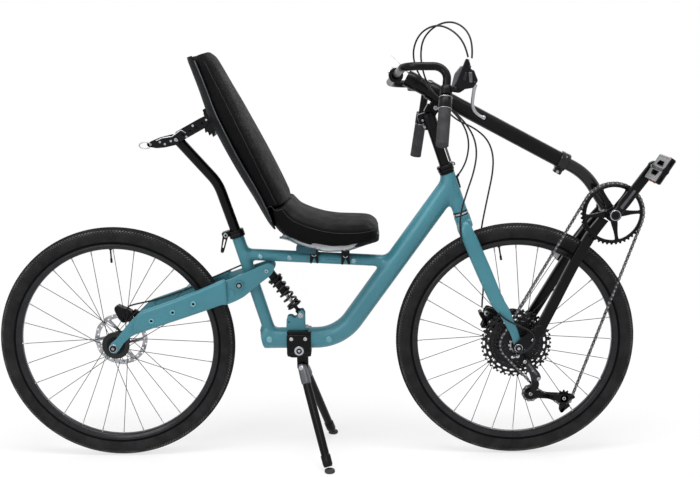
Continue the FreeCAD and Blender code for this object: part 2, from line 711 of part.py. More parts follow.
clamp_table = (
    # x, z, length along the tube
    (545, 622, 18), (592, 614, 22), (684, 609, 22))
saddles = [block("saddle_%d" % number, (length, 66, 22), (x, 0, z))
           for number, (x, z, length) in enumerate(clamp_table)]
keep(cut("seat_clamps", fused("saddles", *saddles), top_run, seat_pan))

# The recline bracket: two perforated straps from the post's top to the back shell.
STRAP = ((110, 938), (118, 952), (200, 966), (288, 1034), (300, 1024), (292, 990), (240, 958),
         (170, 932), (118, 930))
straps = [plate("strap_" + word, STRAP, 4, side * 22) for side, word in SIDES]
strap_pin = across("strap_pin", 5, 26, 206, 954)
keep(cut("recline_bracket", fused("straps", strap_pin, *straps), seat_post, back_shell))

# ---------------------------------------------------------------- fork and riser

HEAD_TOP = dim.head_tube_high + 6.5     # where the riser starts, above the upper cup
CROWN_LOW, CROWN_HIGH = -44, -4.5
FORK_STATIONS = (
    # x, z, y, height, width
    (1031, 696, 40, 40, 30), (1045, 662, 47, 44, 26), (1080, 574, 58, 49, 22),
    (1105, 515, 64, 47, 20), (1119, 485, 67, 44, 18), (1141, 452, 71, 36, 15),
    (1154, 424, 73.5, 27, 12), (1168, 394, 74, 24, 11), (1178, 362, 74, 22, 11),
    (1181, 336, 74, 18, 11))
FORK_SLOPE = 24.6      # sections lie square to the legs
front_axle = keep(fused(
    "front_axle",
    across("front_shank", dim.axle_radius, 96, dim.wheelbase, dim.wheel_radius),
    across("front_nut_right", 10, 4, dim.wheelbase, dim.wheel_radius, -94),
    across("front_nut_left", 10, 4, dim.wheelbase, dim.wheel_radius, 94)))
legs = []
for side, word in SIDES:
    lean = math.radians(FORK_SLOPE)
    along = Vector(math.cos(lean), 0, math.sin(lean))
    rings = [stadium(Vector(x, side * y, z), along, ALONG_Y, height, width)
             for x, z, y, height, width in FORK_STATIONS]
    legs.append(feature("fork_leg_" + word, Part.makeLoft(rings, True, True)))
crown = fused("crown", about_axis("crown_core", 23, CROWN_LOW, CROWN_HIGH),
              block("crown_bar", (42, 92, 26), on_axis(-30), Rotation(ALONG_Y, -18.6)),
              about_axis("steerer", dim.steerer_radius, -20, HEAD_TOP))
keep(cut("fork", fused("fork_solid", crown, *legs), front_axle))

RISER_TOP = 304
FORWARD = Vector(AXIS.z, 0, -AXIS.x)


def beside_axis(distance, forward):
    spot = on_axis(distance)
    return (spot[0] + FORWARD.x * forward, 0.0, spot[2] + FORWARD.z * forward)


# The riser with its clamping ring at the foot, and a thin rod along its front.
RING_HIGH = HEAD_TOP + 19
ROD_LOW, ROD_HIGH, ROD_FORWARD = 150, 261.5, 19
keep(fused("riser_tube",
           about_axis("riser_main", dim.steerer_radius, HEAD_TOP, RISER_TOP),
           ring_on_axis("riser_ring", dim.headset_radius + 2.5, dim.steerer_radius - 1,
                        HEAD_TOP, RING_HIGH),
           rod("rod_bar", 4, beside_axis(ROD_LOW, ROD_FORWARD),
               beside_axis(ROD_HIGH, ROD_FORWARD)),
           block("rod_foot", (32, 16, 6), beside_axis(ROD_LOW + 6, 10),
                 Rotation(ALONG_Y, -float(dim.steering_angle)))))

# ---------------------------------------------------------------- boom

boom_solid = rod("boom_solid", dim.boom_radius, on_boom(0), on_boom(float(dim.boom_length)))
keep(boom_solid, "boom")
STEM_PIVOT = (944.1, 1036.9)
stem_bolt = across("stem_bolt", 4, 26, STEM_PIVOT[0], STEM_PIVOT[1])
stem_solid = fused(
    "stem_solid", about_axis("stem_ring", 21, 262, RISER_TOP - 2),
    block("stem_nose", (34, 24, 26), (934, 0, 1030), Rotation(ALONG_Y, 28.5)),
    block("stem_tail", (36, 24, 26), (915, 0, 1010), Rotation(ALONG_Y, -18.6)))
keep(cut("stem", fused("stem_with_bolt", stem_solid, stem_bolt),
         about_axis("stem_bore", dim.steerer_radius, 150, RISER_TOP), boom_solid))
ears = [block("ear_" + word, (34, 5, 34), (948, side * 15.5, 1046), Rotation(ALONG_Y, 28.5))
        for side, word in SIDES]
keep(cut("boom_clamp", fused(
    "boom_clamp_solid",
    rod("boom_clamp_ring", dim.boom_radius + 4.5, on_boom(66), on_boom(112)), *ears),
    boom_solid, stem_bolt))
COLLAR = float(dim.boom_length)
extension_start = on_boom(COLLAR)
extension_corner = (1374.0, 0, 844.0)
extension_run = bent_tube(
    "extension_run", dim.extension_radius,
    (extension_start, extension_corner, (dim.crank_x, 0, dim.crank_z)), (170,))
bracket_outer = across("bracket_outer", dim.bracket_radius, dim.bracket_half_width,
                       dim.crank_x, dim.crank_z)
spindle_bore = across("spindle_bore", 12.1, 60, dim.crank_x, dim.crank_z)
keep(cut("boom_extension", fused("extension_solid", extension_run, bracket_outer),
         boom_solid, spindle_bore))
keep(cut("boom_collar", fused(
    "collar_solid", rod("collar_ring", dim.boom_radius + 5, on_boom(COLLAR - 9),
                        on_boom(COLLAR + 18)),
    block("collar_ears", (26, 18, 16), (1296, 0, 853), Rotation(ALONG_Y, 28.5))),
    boom_solid, extension_run))

# ---------------------------------------------------------------- chainstays

STAY_STATIONS = (
    # x, z, y
    (1180, 351, 84.5, 26, 9), (1212, 366, 84.5, 28, 9), (1236, 395, 80, 30, 20),
    (1388, 668, 33, 30, 20), (1426, 716, 26, 28, 20))
stays = []
for side, word in SIDES:
    lean = math.radians(28.0)
    along = Vector(math.cos(lean), 0, -math.sin(lean))
    rings = [stadium(Vector(x, side * y, z), along, ALONG_Y, height, width)
             for x, z, y, height, width in STAY_STATIONS]
    stay = feature("stay_" + word, Part.makeLoft(rings, True, True))
    stays.append(cut("chainstay_" + word, stay, front_axle, bracket_outer, extension_run))
keep(together("chainstays", *stays))

# ---------------------------------------------------------------- crank

crank_turn = math.radians(float(dim.crank_angle))
arm_way = Vector(math.cos(crank_turn), 0, math.sin(crank_turn))
CRANK = (float(dim.crank_x), float(dim.crank_z))
ARM_Y = 80.0            # middle of each crank arm, from the middle plane


def crank_arm(label, side, way):
    """A tapered arm from the spindle to the pedal, on its own boss."""
    across_way = Vector(-way.z, 0, way.x)
    table = ((-16, 30, 17), (20, 32, 15), (150, 24, 12), (186, 20, 11))
    y = side * ARM_Y
    rings = []
    for reach, height, width in table:
        centre = Vector(CRANK[0] + way.x * reach, y, CRANK[1] + way.z * reach)
        rings.append(stadium(centre, across_way, ALONG_Y, height, width))
    arm = feature(label + "_solid", Part.makeLoft(rings, True, True))
    return arm


def pedal_spot(side, way):
    reach = float(dim.crank_length)
    return (CRANK[0] + way.x * reach, CRANK[1] + way.z * reach)


spindle = across("spindle", 12, 74, dim.crank_x, dim.crank_z)
arms = {}
for side, word in SIDES:
    way = arm_way if side == RIGHT else arm_way * -1
    spot = pedal_spot(side, way)
    pin = across("pedal_pin_" + word, 4.0, 52, spot[0], spot[1], side * (ARM_Y + 4 + 52))
    arms[word] = fused("arm_solid_" + word, crank_arm("crank_arm_" + word, side, way), pin)
keep(fused("crank_right", arms["right"], spindle))
keep(cut("crank_left", arms["left"], spindle))

ring_disc = across("ring_disc", dim.chainring_radius, 1.0, dim.crank_x, dim.crank_z,
                   -dim.chain_side)
ring_hole = across("ring_hole", dim.chainring_radius - 17, 4, dim.crank_x, dim.crank_z,
                   -dim.chain_side)
spider = [cut("ring_band", ring_disc, ring_hole)]
SPIDER_Y, SPIDER_REACH = -53.0, 50.0     # spider arms' side and the middle of their length
spider.append(across("spider_hub", 24, 9, dim.crank_x, dim.crank_z, -62))
for number in range(5):
    turn = crank_turn + 2 * math.pi * (number + 0.5) / 5
    spider.append(block(
        "spider_arm_%d" % number, (62, 5, 15),
        (CRANK[0] + SPIDER_REACH * math.cos(turn), SPIDER_Y,
         CRANK[1] + SPIDER_REACH * math.sin(turn)),
        Rotation(ALONG_Y, -math.degrees(turn))))
keep(cut("chainring", fused("spider_solid", *spider), spindle))

# ---------------------------------------------------------------- pedals

PEDAL_LENGTH, PEDAL_WIDTH, PEDAL_THICK = 78.0, 108.0, 16.0
PEDAL_TILT = 57.5
WINDOW = (15, 64, 40)           # each opening beside the pedal's barrel
for side, word in SIDES:
    way = arm_way if side == RIGHT else arm_way * -1
    spot = pedal_spot(side, way)
    centre = (spot[0], side * (ARM_Y + 12 + PEDAL_WIDTH / 2), spot[1])
    tilt = Rotation(ALONG_Y, -PEDAL_TILT)
    platform = block("platform_" + word, (PEDAL_LENGTH, PEDAL_WIDTH, PEDAL_THICK), centre, tilt)
    windows = [block("window_%s_%d" % (word, number), WINDOW,
                     [a + b for a, b in zip(centre, tilt.multVec(Vector(offset, 0, 0)))], tilt)
               for number, offset in enumerate((-20, 20))]
    barrel = across("barrel_" + word, 11, PEDAL_WIDTH / 2, spot[0], spot[1], centre[1])
    bore = across("pedal_bore_" + word, 4.06, 80, spot[0], spot[1], centre[1])
    keep(cut("pedal_" + word, fused("pedal_solid_" + word, platform, barrel), bore, *windows))

# ---------------------------------------------------------------- chain and derailleur

GUIDE = (1222.5, 201.0)
TENSION = (1320.8, 186.0)
PULLEY = 22.0
AXLE = (float(dim.wheelbase), float(dim.wheel_radius))
DRIVEN = float(dim.driven_cog_radius)


def tangent(first, first_radius, second, second_radius):
    """Ends of the line that touches two circles. A positive radius has its circle to the
    left of the way of travel, a negative one to the right."""
    dx, dz = second[0] - first[0], second[1] - first[1]
    apart = math.hypot(dx, dz)
    turn = math.atan2(dz, dx)
    lean = math.asin((second_radius - first_radius) / apart)
    normal = turn - lean - math.pi / 2
    nx, nz = math.cos(normal), math.sin(normal)
    return ((first[0] + nx * first_radius, first[1] + nz * first_radius),
            (second[0] + nx * second_radius, second[1] + nz * second_radius))


CHAIN_RUNS = (
    # circle and radius at the start, circle and radius at the end, left bare at each end
    (CRANK, 89.0, AXLE, DRIVEN, 34.0, 44.0),
    (AXLE, DRIVEN, GUIDE, -PULLEY, 60.0, 14.0),
    (GUIDE, -PULLEY, TENSION, PULLEY, 14.0, 14.0),
    (TENSION, PULLEY, CRANK, 89.0, 14.0, 34.0))
chain_bars = []
for number, (first, r_first, second, r_second, gap_first, gap_second) in enumerate(CHAIN_RUNS):
    start, end = tangent(first, r_first, second, r_second)
    run = Vector(end[0] - start[0], 0, end[1] - start[1])
    way = run * (1 / run.Length)
    length = run.Length - gap_first - gap_second
    turn = Rotation(ALONG_X, run)
    middle = Vector(start[0], 0, start[1]) + way * (gap_first + length / 2)
    print("chain run %d length %.1f" % (number, run.Length))
    chain_bars.append(block("chain_run_%d" % number, (length, 5.0, dim.chain_height),
                            (middle.x, -dim.chain_side, middle.z), turn))
keep(together("chain", *chain_bars))

pulleys = [across("pulley_%d" % n, PULLEY - 4, 1.5, spot[0], spot[1], -dim.chain_side)
           for n, spot in enumerate((GUIDE, TENSION))]
cage_outline = ((1209, 214), (1236, 219), (1334, 196), (1330, 160), (1312, 146), (1296, 176),
                (1214, 186))
cage_plates = [plate("cage_plate_%d" % n, cage_outline, 2, y)
               for n, y in enumerate((-57.0, -43.0))]
cage_pins = [across("cage_pin_%d" % n, 4, 7, spot[0], spot[1], -dim.chain_side)
             for n, spot in enumerate((GUIDE, TENSION))]
cage = fused("derailleur_cage", *cage_plates, *cage_pins, *pulleys)
body_stations = ((1196, 318, -73, 22, 9), (1206, 298, -74, 30, 12), (1228, 262, -70, 34, 22),
                 (1226, 226, -66, 30, 14), (1222, 208, -62, 24, 7))
keep(fused("derailleur", limb("derailleur_solid", body_stations, 60), cage))

# ---------------------------------------------------------------- brake calipers

front_caliper = block("front_caliper_solid", (34, 34, 62), (1106, 56, 404),
                      Rotation(ALONG_Y, -30))
front_slot = across("front_caliper_slot", 86, 2.5, dim.wheelbase, dim.wheel_radius,
                    dim.front_rotor_side)
keep(cut("front_caliper", front_caliper, front_slot, legs[1]))
rear_caliper = fused(
    "rear_caliper_solid",
    block("rear_caliper_block", (58, 25, 36), (12, 41, 430), Rotation(ALONG_Y, 31)),
    block("rear_caliper_tab", (34, 12, 34), (48, 49.5, 420), Rotation(ALONG_Y, 31)))
rear_slot = across("rear_caliper_slot", 86, 2.5, 0, dim.wheel_radius, dim.rear_rotor_side)
keep(cut("rear_caliper", rear_caliper, rear_slot, nodes["swingarm_left"]))

# ---------------------------------------------------------------- handlebar

twist = Rotation(BOOM, float(dim.bar_twist))
BAR_PIVOT = on_boom(0)
BAR_ROUTE = ((833, 0, 1128), (833, 192, 1128), (949, 198, 1126), (920.7, 259.5, 916))
BAR_BENDS = (45, 34)
GRIP_LENGTH = 134.0     # with the collar at the grip's upper end


def bar_side(label, side, radius, points, bends):
    path = [(x, side * y, z) for x, y, z in points]
    return bent_tube(label, radius, path, bends, twist, BAR_PIVOT)


bars = [bar_side("bar_" + word, side, dim.bar_radius, BAR_ROUTE, BAR_BENDS)
        for side, word in SIDES]
handlebar_solid = fused("handlebar_solid", *bars)
bar_clamp = fused("bar_clamp_solid",
                  rod("bar_clamp_ring", 21, (833, -22, 1129), (833, 22, 1129)),
                  rod("bar_clamp_sleeve", 24.5, on_boom(-4), on_boom(34)))


def turned_about_boom(point):
    pivot = Vector(*[float(v) for v in BAR_PIVOT])
    return twist.multVec(Vector(*point) - pivot) + pivot


sleeves = []
for side, word in SIDES:
    corner, end = (turned_about_boom((x, side * y, z)) for x, y, z in BAR_ROUTE[2:])
    down = (end - corner).normalize()
    top = end - down * GRIP_LENGTH
    sleeve = rod("grip_out_" + word, dim.grip_radius, top, end + down * 4)
    sleeves.append(cut("grip_" + word, sleeve, handlebar_solid))
keep(together("grips", *sleeves))
keep(cut("handlebar", handlebar_solid, boom_solid))
keep(cut("bar_clamp", bar_clamp, handlebar_solid, boom_solid))

# ---------------------------------------------------------------- brake levers

# Each lever: a body beside the grip's top with its clamp round the bar, and a blade.
LEVER_BODY = ((966, 1090), (969, 1112), (980, 1138), (1000, 1165), (1014, 1176),
              (1024, 1160), (1041, 1119), (1028, 1101), (990, 1087))
LEVER_BLADE = ((1027, 1102), (1039, 1110), (1033, 1062), (1036, 1047), (1047, 1034),
               (1061, 1027), (1058, 1018), (1042, 1024), (1026, 1041), (1021, 1060))
grip_tops = {}
for side, word in SIDES:
    corner, end = (turned_about_boom((x, side * y, z)) for x, y, z in BAR_ROUTE[2:])
    grip_tops[word] = (corner, (end - corner).normalize(), (end - corner).Length)
corner, down, length = grip_tops["right"]
clamp_low = corner + down * (length - GRIP_LENGTH - 4)
right_lever = fused(
    "right_lever_solid", rod("right_lever_clamp", 16, clamp_low, clamp_low - down * 26),
    plate("right_lever_body", LEVER_BODY, 22, -222),
    plate("right_lever_blade", LEVER_BLADE, 12, -224))
LEFT_LEVER = (
    # x, z, y, height, width; from the clamp up to the blade's tip
    (914, 1092, 205, 44, 26), (898, 1114, 209, 36, 22), (876, 1128, 212, 24, 16),
    (850, 1160, 217, 16, 12), (825, 1181, 225, 8, 10))
left_lever = fused(
    "left_lever_solid", limb("left_lever_limb", LEFT_LEVER, 45),
    rod("left_lever_clamp", 19, turned_about_boom((893, 195, 1125)),
        turned_about_boom((929, 197, 1122))))
keep(cut("brake_levers", together("lever_pair", right_lever, left_lever), *bars,
         *sleeves))

# ---------------------------------------------------------------- cables


def cable_run(label, radius, points):
    """A cable's tube along its route, with arcs as large as its runs allow."""
    spots = [Vector(*p) for p in points]
    bends = []
    for before, here, after in zip(spots, spots[1:], spots[2:]):
        arriving, leaving = here - before, after - here
        turn = arriving.getAngle(leaving)
        shorter = min(arriving.Length, leaving.Length)
        bends.append(0.45 * shorter / math.tan(turn / 2))
    made = bent_tube(label, radius, points, bends)
    doc.recompute()
    length = bent_wire(points, bends).Length
    print("%s length %.0f, tightest bend %.0f, volume over section x length %.3f" % (
        label, length, min(bends), made.Shape.Volume / (math.pi * radius ** 2 * length)))
    return made


CABLE = 2.5     # radius of a cable's housing
SHIFT_UPPER = (
    (1015, -221, 1180), (1008, -214, 1214), (978, -190, 1250), (938, -158, 1266),
    (898, -130, 1248), (878, -105, 1208), (880, -82, 1166), (898, -62, 1126),
    (930, -50, 1086), (975, -42, 1046), (1022, -36, 1002), (1052, -34, 957),
    (1061, -35, 909), (1052, -38, 856), (1033, -43, 802), (1016, -48, 748),
    (1011, -53, 697), (1017, -59, 656))
SHIFT_LOWER = (
    (1121, -83, 454), (1135, -86, 440), (1160, -88, 426), (1190, -91, 414), (1220, -94, 398),
    (1226, -95, 374), (1211, -94, 350), (1186, -90, 334), (1160, -84, 321))
REAR_BRAKE_UPPER = (
    (1024, -230, 1177), (1027, -224, 1212), (1012, -200, 1253), (977, -168, 1274),
    (936, -138, 1264), (904, -112, 1231), (898, -88, 1187), (905, -66, 1144),
    (920, -46, 1104), (950, -33, 1066), (990, -25, 1030), (1024, -18, 990),
    (1040, -14, 944), (1037, -9, 898), (1024, -4, 862), (1012, 0, 845))
REAR_BRAKE_LOWER = (
    (397, 20.5, 598), (399, 36, 592), (385, 45, 580), (348, 48, 564), (292, 48, 540),
    (228, 50, 510), (164, 50, 486), (112, 50, 470), (72, 49, 461), (42, 46, 456),
    (24, 44, 450))
FRONT_BRAKE = (
    (912, 214, 1098), (938, 196, 1110), (962, 160, 1094), (972, 120, 1062), (980, 84, 1026),
    (1010, 52, 996), (1058, 30, 976), (1096, 14, 944), (1113, 13, 898), (1112, 16, 846),
    (1102, 24, 790), (1092, 30, 734), (1083, 32, 684), (1079, 34, 632), (1082, 39, 580),
    (1089, 44, 532), (1093, 50, 490), (1090, 55, 458), (1090, 56, 436))
keep(together("shift_cable", cable_run("shift_upper", CABLE, SHIFT_UPPER),
              cable_run("shift_lower", CABLE, SHIFT_LOWER)))
keep(cable_run("rear_brake_cable", CABLE, REAR_BRAKE_UPPER))
keep(cable_run("rear_brake_line", CABLE, REAR_BRAKE_LOWER))
keep(cable_run("front_brake_cable", CABLE, FRONT_BRAKE))

# ---------------------------------------------------------------- write the sub-parts

doc.recompute()
failed = [thing.Label for thing in doc.Objects
          if "Invalid" in thing.State or "Error" in thing.State]
if failed:
    raise SystemExit("failed: " + ", ".join(failed))
os.makedirs("parts", exist_ok=True)
for label, thing in sorted(nodes.items()):
    shape = thing.Shape
    if shape.isNull() or not shape.isValid() or not shape.Solids:
        raise SystemExit("bad shape: " + label)
    shape.exportStep(os.path.join("parts", label + ".step"))
    print("%-20s solids %2d volume %9.0f" % (label, len(shape.Solids), shape.Volume))
print("sub-parts:", len(nodes))
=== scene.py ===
import math

import bmesh
import bpy
import numpy as np
from mathutils import Matrix, Vector
from mathutils.bvhtree import BVHTree
from mathutils.geometry import tessellate_polygon


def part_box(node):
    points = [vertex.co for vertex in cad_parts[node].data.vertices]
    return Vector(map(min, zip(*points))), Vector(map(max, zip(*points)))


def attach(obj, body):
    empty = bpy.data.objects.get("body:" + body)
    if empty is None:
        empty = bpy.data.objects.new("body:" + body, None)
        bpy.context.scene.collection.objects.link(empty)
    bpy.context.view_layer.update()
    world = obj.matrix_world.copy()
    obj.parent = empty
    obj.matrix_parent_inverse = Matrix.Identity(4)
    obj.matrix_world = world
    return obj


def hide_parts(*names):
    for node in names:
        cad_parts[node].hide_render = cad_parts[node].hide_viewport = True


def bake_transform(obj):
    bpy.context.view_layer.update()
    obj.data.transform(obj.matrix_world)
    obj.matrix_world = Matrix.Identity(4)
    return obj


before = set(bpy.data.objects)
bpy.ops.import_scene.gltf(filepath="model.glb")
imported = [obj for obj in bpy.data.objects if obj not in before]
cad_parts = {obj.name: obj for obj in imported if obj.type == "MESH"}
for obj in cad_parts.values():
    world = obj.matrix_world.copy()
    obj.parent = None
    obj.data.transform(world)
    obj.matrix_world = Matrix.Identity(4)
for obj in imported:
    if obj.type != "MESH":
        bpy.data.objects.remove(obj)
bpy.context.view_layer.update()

# Shapes are worked out in millimetres, from the point where the rear tyre meets the floor:
# +X forward, +Y to the rider's left, +Z up. in_frame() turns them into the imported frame's metres.
MM = 0.001
tyre_low, tyre_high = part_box("rear_tyre")
ORIGIN = np.array(((tyre_low.x + tyre_high.x) / 2, (tyre_low.y + tyre_high.y) / 2, tyre_low.z))
WHEEL_RADIUS = (tyre_high.z - tyre_low.z) / 2 / MM
RIGHT, LEFT = -1, 1
SIDES = (RIGHT, LEFT)
WORDS = {RIGHT: "right", LEFT: "left"}
ACROSS = np.array((0.0, 1.0, 0.0))
FULL_TURN = 2 * math.pi


def in_frame(places):
    return np.asarray(places, float) * MM + ORIGIN


def middle(node):
    """The middle of a CAD node's box, in millimetres."""
    low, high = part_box(node)
    return (np.array((low + high) / 2) - ORIGIN) / MM


REAR_AXLE = middle("rear_rim")
FRONT_AXLE = middle("front_rim")
CRANK = middle("chainring") * (1, 0, 1)

# ---------------- camera, light and floor

scene = bpy.context.scene
scene.view_settings.view_transform = "Standard"

CAMERA_PLACE = (754.5, -2891.4, 1224.7)
CAMERA_YAW, CAMERA_PITCH, CAMERA_ROLL = 1.136, -11.045, -0.818      # degrees
CAMERA_LENS = 51.95
CAMERA_REACH = 60                                                   # metres
WHITE = (1, 1, 1, 1)
WORLD_LEVEL = 0.56
FLOOR_HALF, FLOOR_LEVEL = 14.0, -0.0005                             # metres
FLOOR_GREY = (0.93, 0.93, 0.93, 1)
FLOOR_FADE = {"From_Min": 0.7, "From_Max": 3.2, "To_Min": 0.66, "To_Max": 1.0}


def held(name, data):
    """A new object in the scene that holds a mesh, a curve, a lamp or a camera."""
    made = bpy.data.objects.new(name, data)
    scene.collection.objects.link(made)
    return made


def node_of(tree, kind, operation=None, **values):
    """A new node with its inputs set by name; an underscore stands for a name's space."""
    node = tree.nodes.new("ShaderNode" + kind)
    if operation:
        node.operation = operation
    for name, value in values.items():
        node.inputs[name.replace("_", " ")].default_value = value
    return node


def join(tree, *links):
    """Links between nodes, each from an output to an input."""
    for start, end in links:
        tree.links.new(start, end)


def emptied(owner):
    """The node tree of a world or a material, with nothing in it."""
    owner.use_nodes = True
    owner.node_tree.nodes.clear()
    return owner.node_tree


def softbox(name, place, target, size, power):
    lamp = bpy.data.lights.new(name, "AREA")
    lamp.shape = "RECTANGLE"
    lamp.size, lamp.size_y = size
    lamp.energy = power
    holder = held(name, lamp)
    holder.location = place
    holder.rotation_euler = (Vector(target) - Vector(place)).to_track_quat("-Z", "Y").to_euler()
    holder.visible_camera = False


def studio_world():
    """Soft light from all sides, seen as plain white by the camera and in reflections."""
    scene.world = bpy.data.worlds.new("studio")
    tree = emptied(scene.world)
    ray = node_of(tree, "LightPath")
    seen, shown = node_of(tree, "Math", "MAXIMUM"), node_of(tree, "Math", "MAXIMUM")
    lit = node_of(tree, "Background", Color=WHITE, Strength=WORLD_LEVEL)
    white = node_of(tree, "Background", Color=WHITE)
    mix, output = node_of(tree, "MixShader"), node_of(tree, "OutputWorld")
    join(tree,
         (ray.outputs["Is Camera Ray"], seen.inputs[0]),
         (ray.outputs["Is Glossy Ray"], seen.inputs[1]),
         (seen.outputs[0], shown.inputs[0]),
         (ray.outputs["Is Transmission Ray"], shown.inputs[1]),
         (shown.outputs[0], mix.inputs[0]),
         (lit.outputs[0], mix.inputs[1]),
         (white.outputs[0], mix.inputs[2]),
         (mix.outputs[0], output.inputs[0]))


def studio_floor():
    """A light floor that takes soft shadows near the bicycle and fades to white."""
    mesh = bpy.data.meshes.new("studio_floor")
    corners = ((-1, -1), (1, -1), (1, 1), (-1, 1))
    mesh.from_pydata([(x * FLOOR_HALF, y * FLOOR_HALF, FLOOR_LEVEL) for x, y in corners],
                     [], [(0, 1, 2, 3)])
    floor = held("studio_floor", mesh)
    paint = bpy.data.materials.new("studio_floor")
    tree = emptied(paint)
    diffuse = node_of(tree, "BsdfDiffuse", Color=FLOOR_GREY)
    glow = node_of(tree, "Emission", Color=WHITE)
    place = node_of(tree, "TexCoord")
    reach = node_of(tree, "VectorMath", "LENGTH")
    fade = node_of(tree, "MapRange", **FLOOR_FADE)
    fade.interpolation_type = "SMOOTHSTEP"
    ray = node_of(tree, "LightPath")
    seen, shown = node_of(tree, "Math", "MAXIMUM"), node_of(tree, "Math", "MULTIPLY")
    mix, output = node_of(tree, "MixShader"), node_of(tree, "OutputMaterial")
    join(tree,
         (place.outputs["Object"], reach.inputs[0]),
         (reach.outputs["Value"], fade.inputs["Value"]),
         (ray.outputs["Is Camera Ray"], seen.inputs[0]),
         (ray.outputs["Is Glossy Ray"], seen.inputs[1]),
         (seen.outputs[0], shown.inputs[0]),
         (fade.outputs["Result"], shown.inputs[1]),
         (shown.outputs[0], mix.inputs[0]),
         (diffuse.outputs[0], mix.inputs[1]),
         (glow.outputs[0], mix.inputs[2]),
         (mix.outputs[0], output.inputs[0]))
    mesh.materials.append(paint)


scene.camera = held("camera", bpy.data.cameras.new("camera"))
scene.camera.data.lens = CAMERA_LENS
scene.camera.data.clip_end = CAMERA_REACH
scene.camera.matrix_world = (
    Matrix.Translation(in_frame(CAMERA_PLACE))
    @ Matrix.Rotation(math.radians(CAMERA_YAW), 4, "Z")
    @ Matrix.Rotation(math.radians(90 + CAMERA_PITCH), 4, "X")
    @ Matrix.Rotation(math.radians(CAMERA_ROLL), 4, "Z"))

# place, target and size in metres, power in watts
softbox("overhead_softbox", (0.1, -0.7, 3.2), (0.0, 0.0, 0.5), (3.2, 0.9), 75)
softbox("front_softbox", (-2.2, -3.2, 2.2), (0.0, 0.0, 0.6), (1.8, 1.6), 42)
softbox("back_softbox", (1.6, 3.2, 2.4), (0.0, 0.0, 0.6), (2.4, 2.0), 36)
studio_world()
studio_floor()

# ---------------- materials

TONE_START, TONE_END = 0.36, 0.66         # where the noise turns from one tone to the other
DARKER = 0.86                             # the second tone's share of the first, if not given
GLOSS_START, GLOSS_END, GLOSS_PATCH = 0.3, 0.7, 2.3
CREASE_WIDTH, GRAIN_SHARE = 0.12, 0.35    # of a leather's cells


def linear(colour):
    """A colour written as a screen shows it, 0 to 255, as the renderer's own numbers."""
    parts = [c / 255 for c in colour]
    return tuple(c / 12.92 if c <= 0.04045 else ((c + 0.055) / 1.055) ** 2.4
                 for c in parts) + (1.0,)


def finish_of(name, colour, rough, metal=0.0, second=None, patch=18.0, grain=420.0, bump=0.05,
              rough_range=0.08, coat=0.0, coat_rough=0.12, cells=0.0, specular=0.4,
              stretch=(1, 1, 1)):
    """A procedural finish: two tones in soft patches, uneven gloss, and grain in its bump."""
    made = bpy.data.materials.new(name)
    made.use_nodes = True
    tree = made.node_tree
    shader = tree.nodes["Principled BSDF"]
    scale = node_of(tree, "Mapping", Scale=stretch)
    join(tree, (node_of(tree, "TexCoord").outputs["Object"], scale.inputs["Vector"]))

    def noise(size, detail, roughness=0.5):
        node = node_of(tree, "TexNoise", Scale=size, Detail=detail, Roughness=roughness)
        join(tree, (scale.outputs["Vector"], node.inputs["Vector"]))
        return node.outputs["Fac"]

    tones = node_of(tree, "ValToRGB")
    dark, light = tones.color_ramp.elements
    dark.position, light.position = TONE_START, TONE_END
    dark.color = linear(second or [c * DARKER for c in colour])
    light.color = linear(colour)
    gloss = node_of(tree, "MapRange", From_Min=GLOSS_START, From_Max=GLOSS_END,
                    To_Min=max(0.02, rough - rough_range), To_Max=min(1.0, rough + rough_range))
    join(tree,
         (noise(patch, 3), tones.inputs["Fac"]),
         (tones.outputs["Color"], shader.inputs["Base Color"]),
         (noise(patch * GLOSS_PATCH, 4, 0.6), gloss.inputs["Value"]),
         (gloss.outputs["Result"], shader.inputs["Roughness"]))

    height = noise(grain, 5, 0.6)
    if cells:
        cell = node_of(tree, "TexVoronoi", Scale=cells)
        cell.feature = "DISTANCE_TO_EDGE"
        crease = node_of(tree, "MapRange", From_Max=CREASE_WIDTH)
        both = node_of(tree, "Math", "MULTIPLY_ADD")
        both.inputs[1].default_value = GRAIN_SHARE
        join(tree,
             (scale.outputs["Vector"], cell.inputs["Vector"]),
             (cell.outputs["Distance"], crease.inputs["Value"]),
             (height, both.inputs[0]),
             (crease.outputs["Result"], both.inputs[2]))
        height = both.outputs[0]
    relief = node_of(tree, "Bump", Strength=bump, Distance=MM)
    join(tree,
         (height, relief.inputs["Height"]),
         (relief.outputs["Normal"], shader.inputs["Normal"]))
    for entry, value in (("Metallic", metal), ("Specular IOR Level", specular),
                         ("Coat Weight", coat), ("Coat Roughness", coat_rough)):
        shader.inputs[entry].default_value = value
    return made


TEAL = finish_of("teal_satin_paint", (62, 125, 138), 0.4, metal=0.1, second=(56, 117, 130),
                 patch=7, grain=900, bump=0.05, coat=0.12, coat_rough=0.22)
# a lighter, glossier teal for the bosses: a painted highlight on their domes
TEAL_HIGHLIGHT = finish_of("teal_painted_highlight", (112, 168, 178), 0.26, metal=0.25,
                      second=(96, 152, 164), patch=20, grain=700, bump=0.1, coat=0.3,
                      coat_rough=0.08)
# a darker teal for the block under the seat pan: painted shade for the pan's shadow
TEAL_SHADED = finish_of("teal_painted_shade", (36, 78, 90), 0.5, second=(30, 68, 79), grain=800,
                      specular=0.25)
BLACK_PAINT = finish_of("black_satin_paint", (9, 10, 11), 0.27, second=(7, 7, 9), patch=12,
                        grain=700, bump=0.04, coat=0.03, coat_rough=0.12, specular=0.12)
BLACK_GLOSS = finish_of("black_gloss_paint", (10, 11, 13), 0.2, second=(8, 9, 11), patch=9,
                        grain=300, bump=0.02, coat=0.2, coat_rough=0.06, specular=0.25)
BLACK_ALLOY = finish_of("black_anodised_alloy", (15, 16, 18), 0.34, metal=0.15,
                        second=(11, 12, 13), patch=25, grain=600, bump=0.08, specular=0.15)
GREY_ALLOY = finish_of("grey_alloy", (96, 98, 101), 0.4, metal=0.8, second=(78, 80, 84),
                       patch=30, grain=500, bump=0.1)
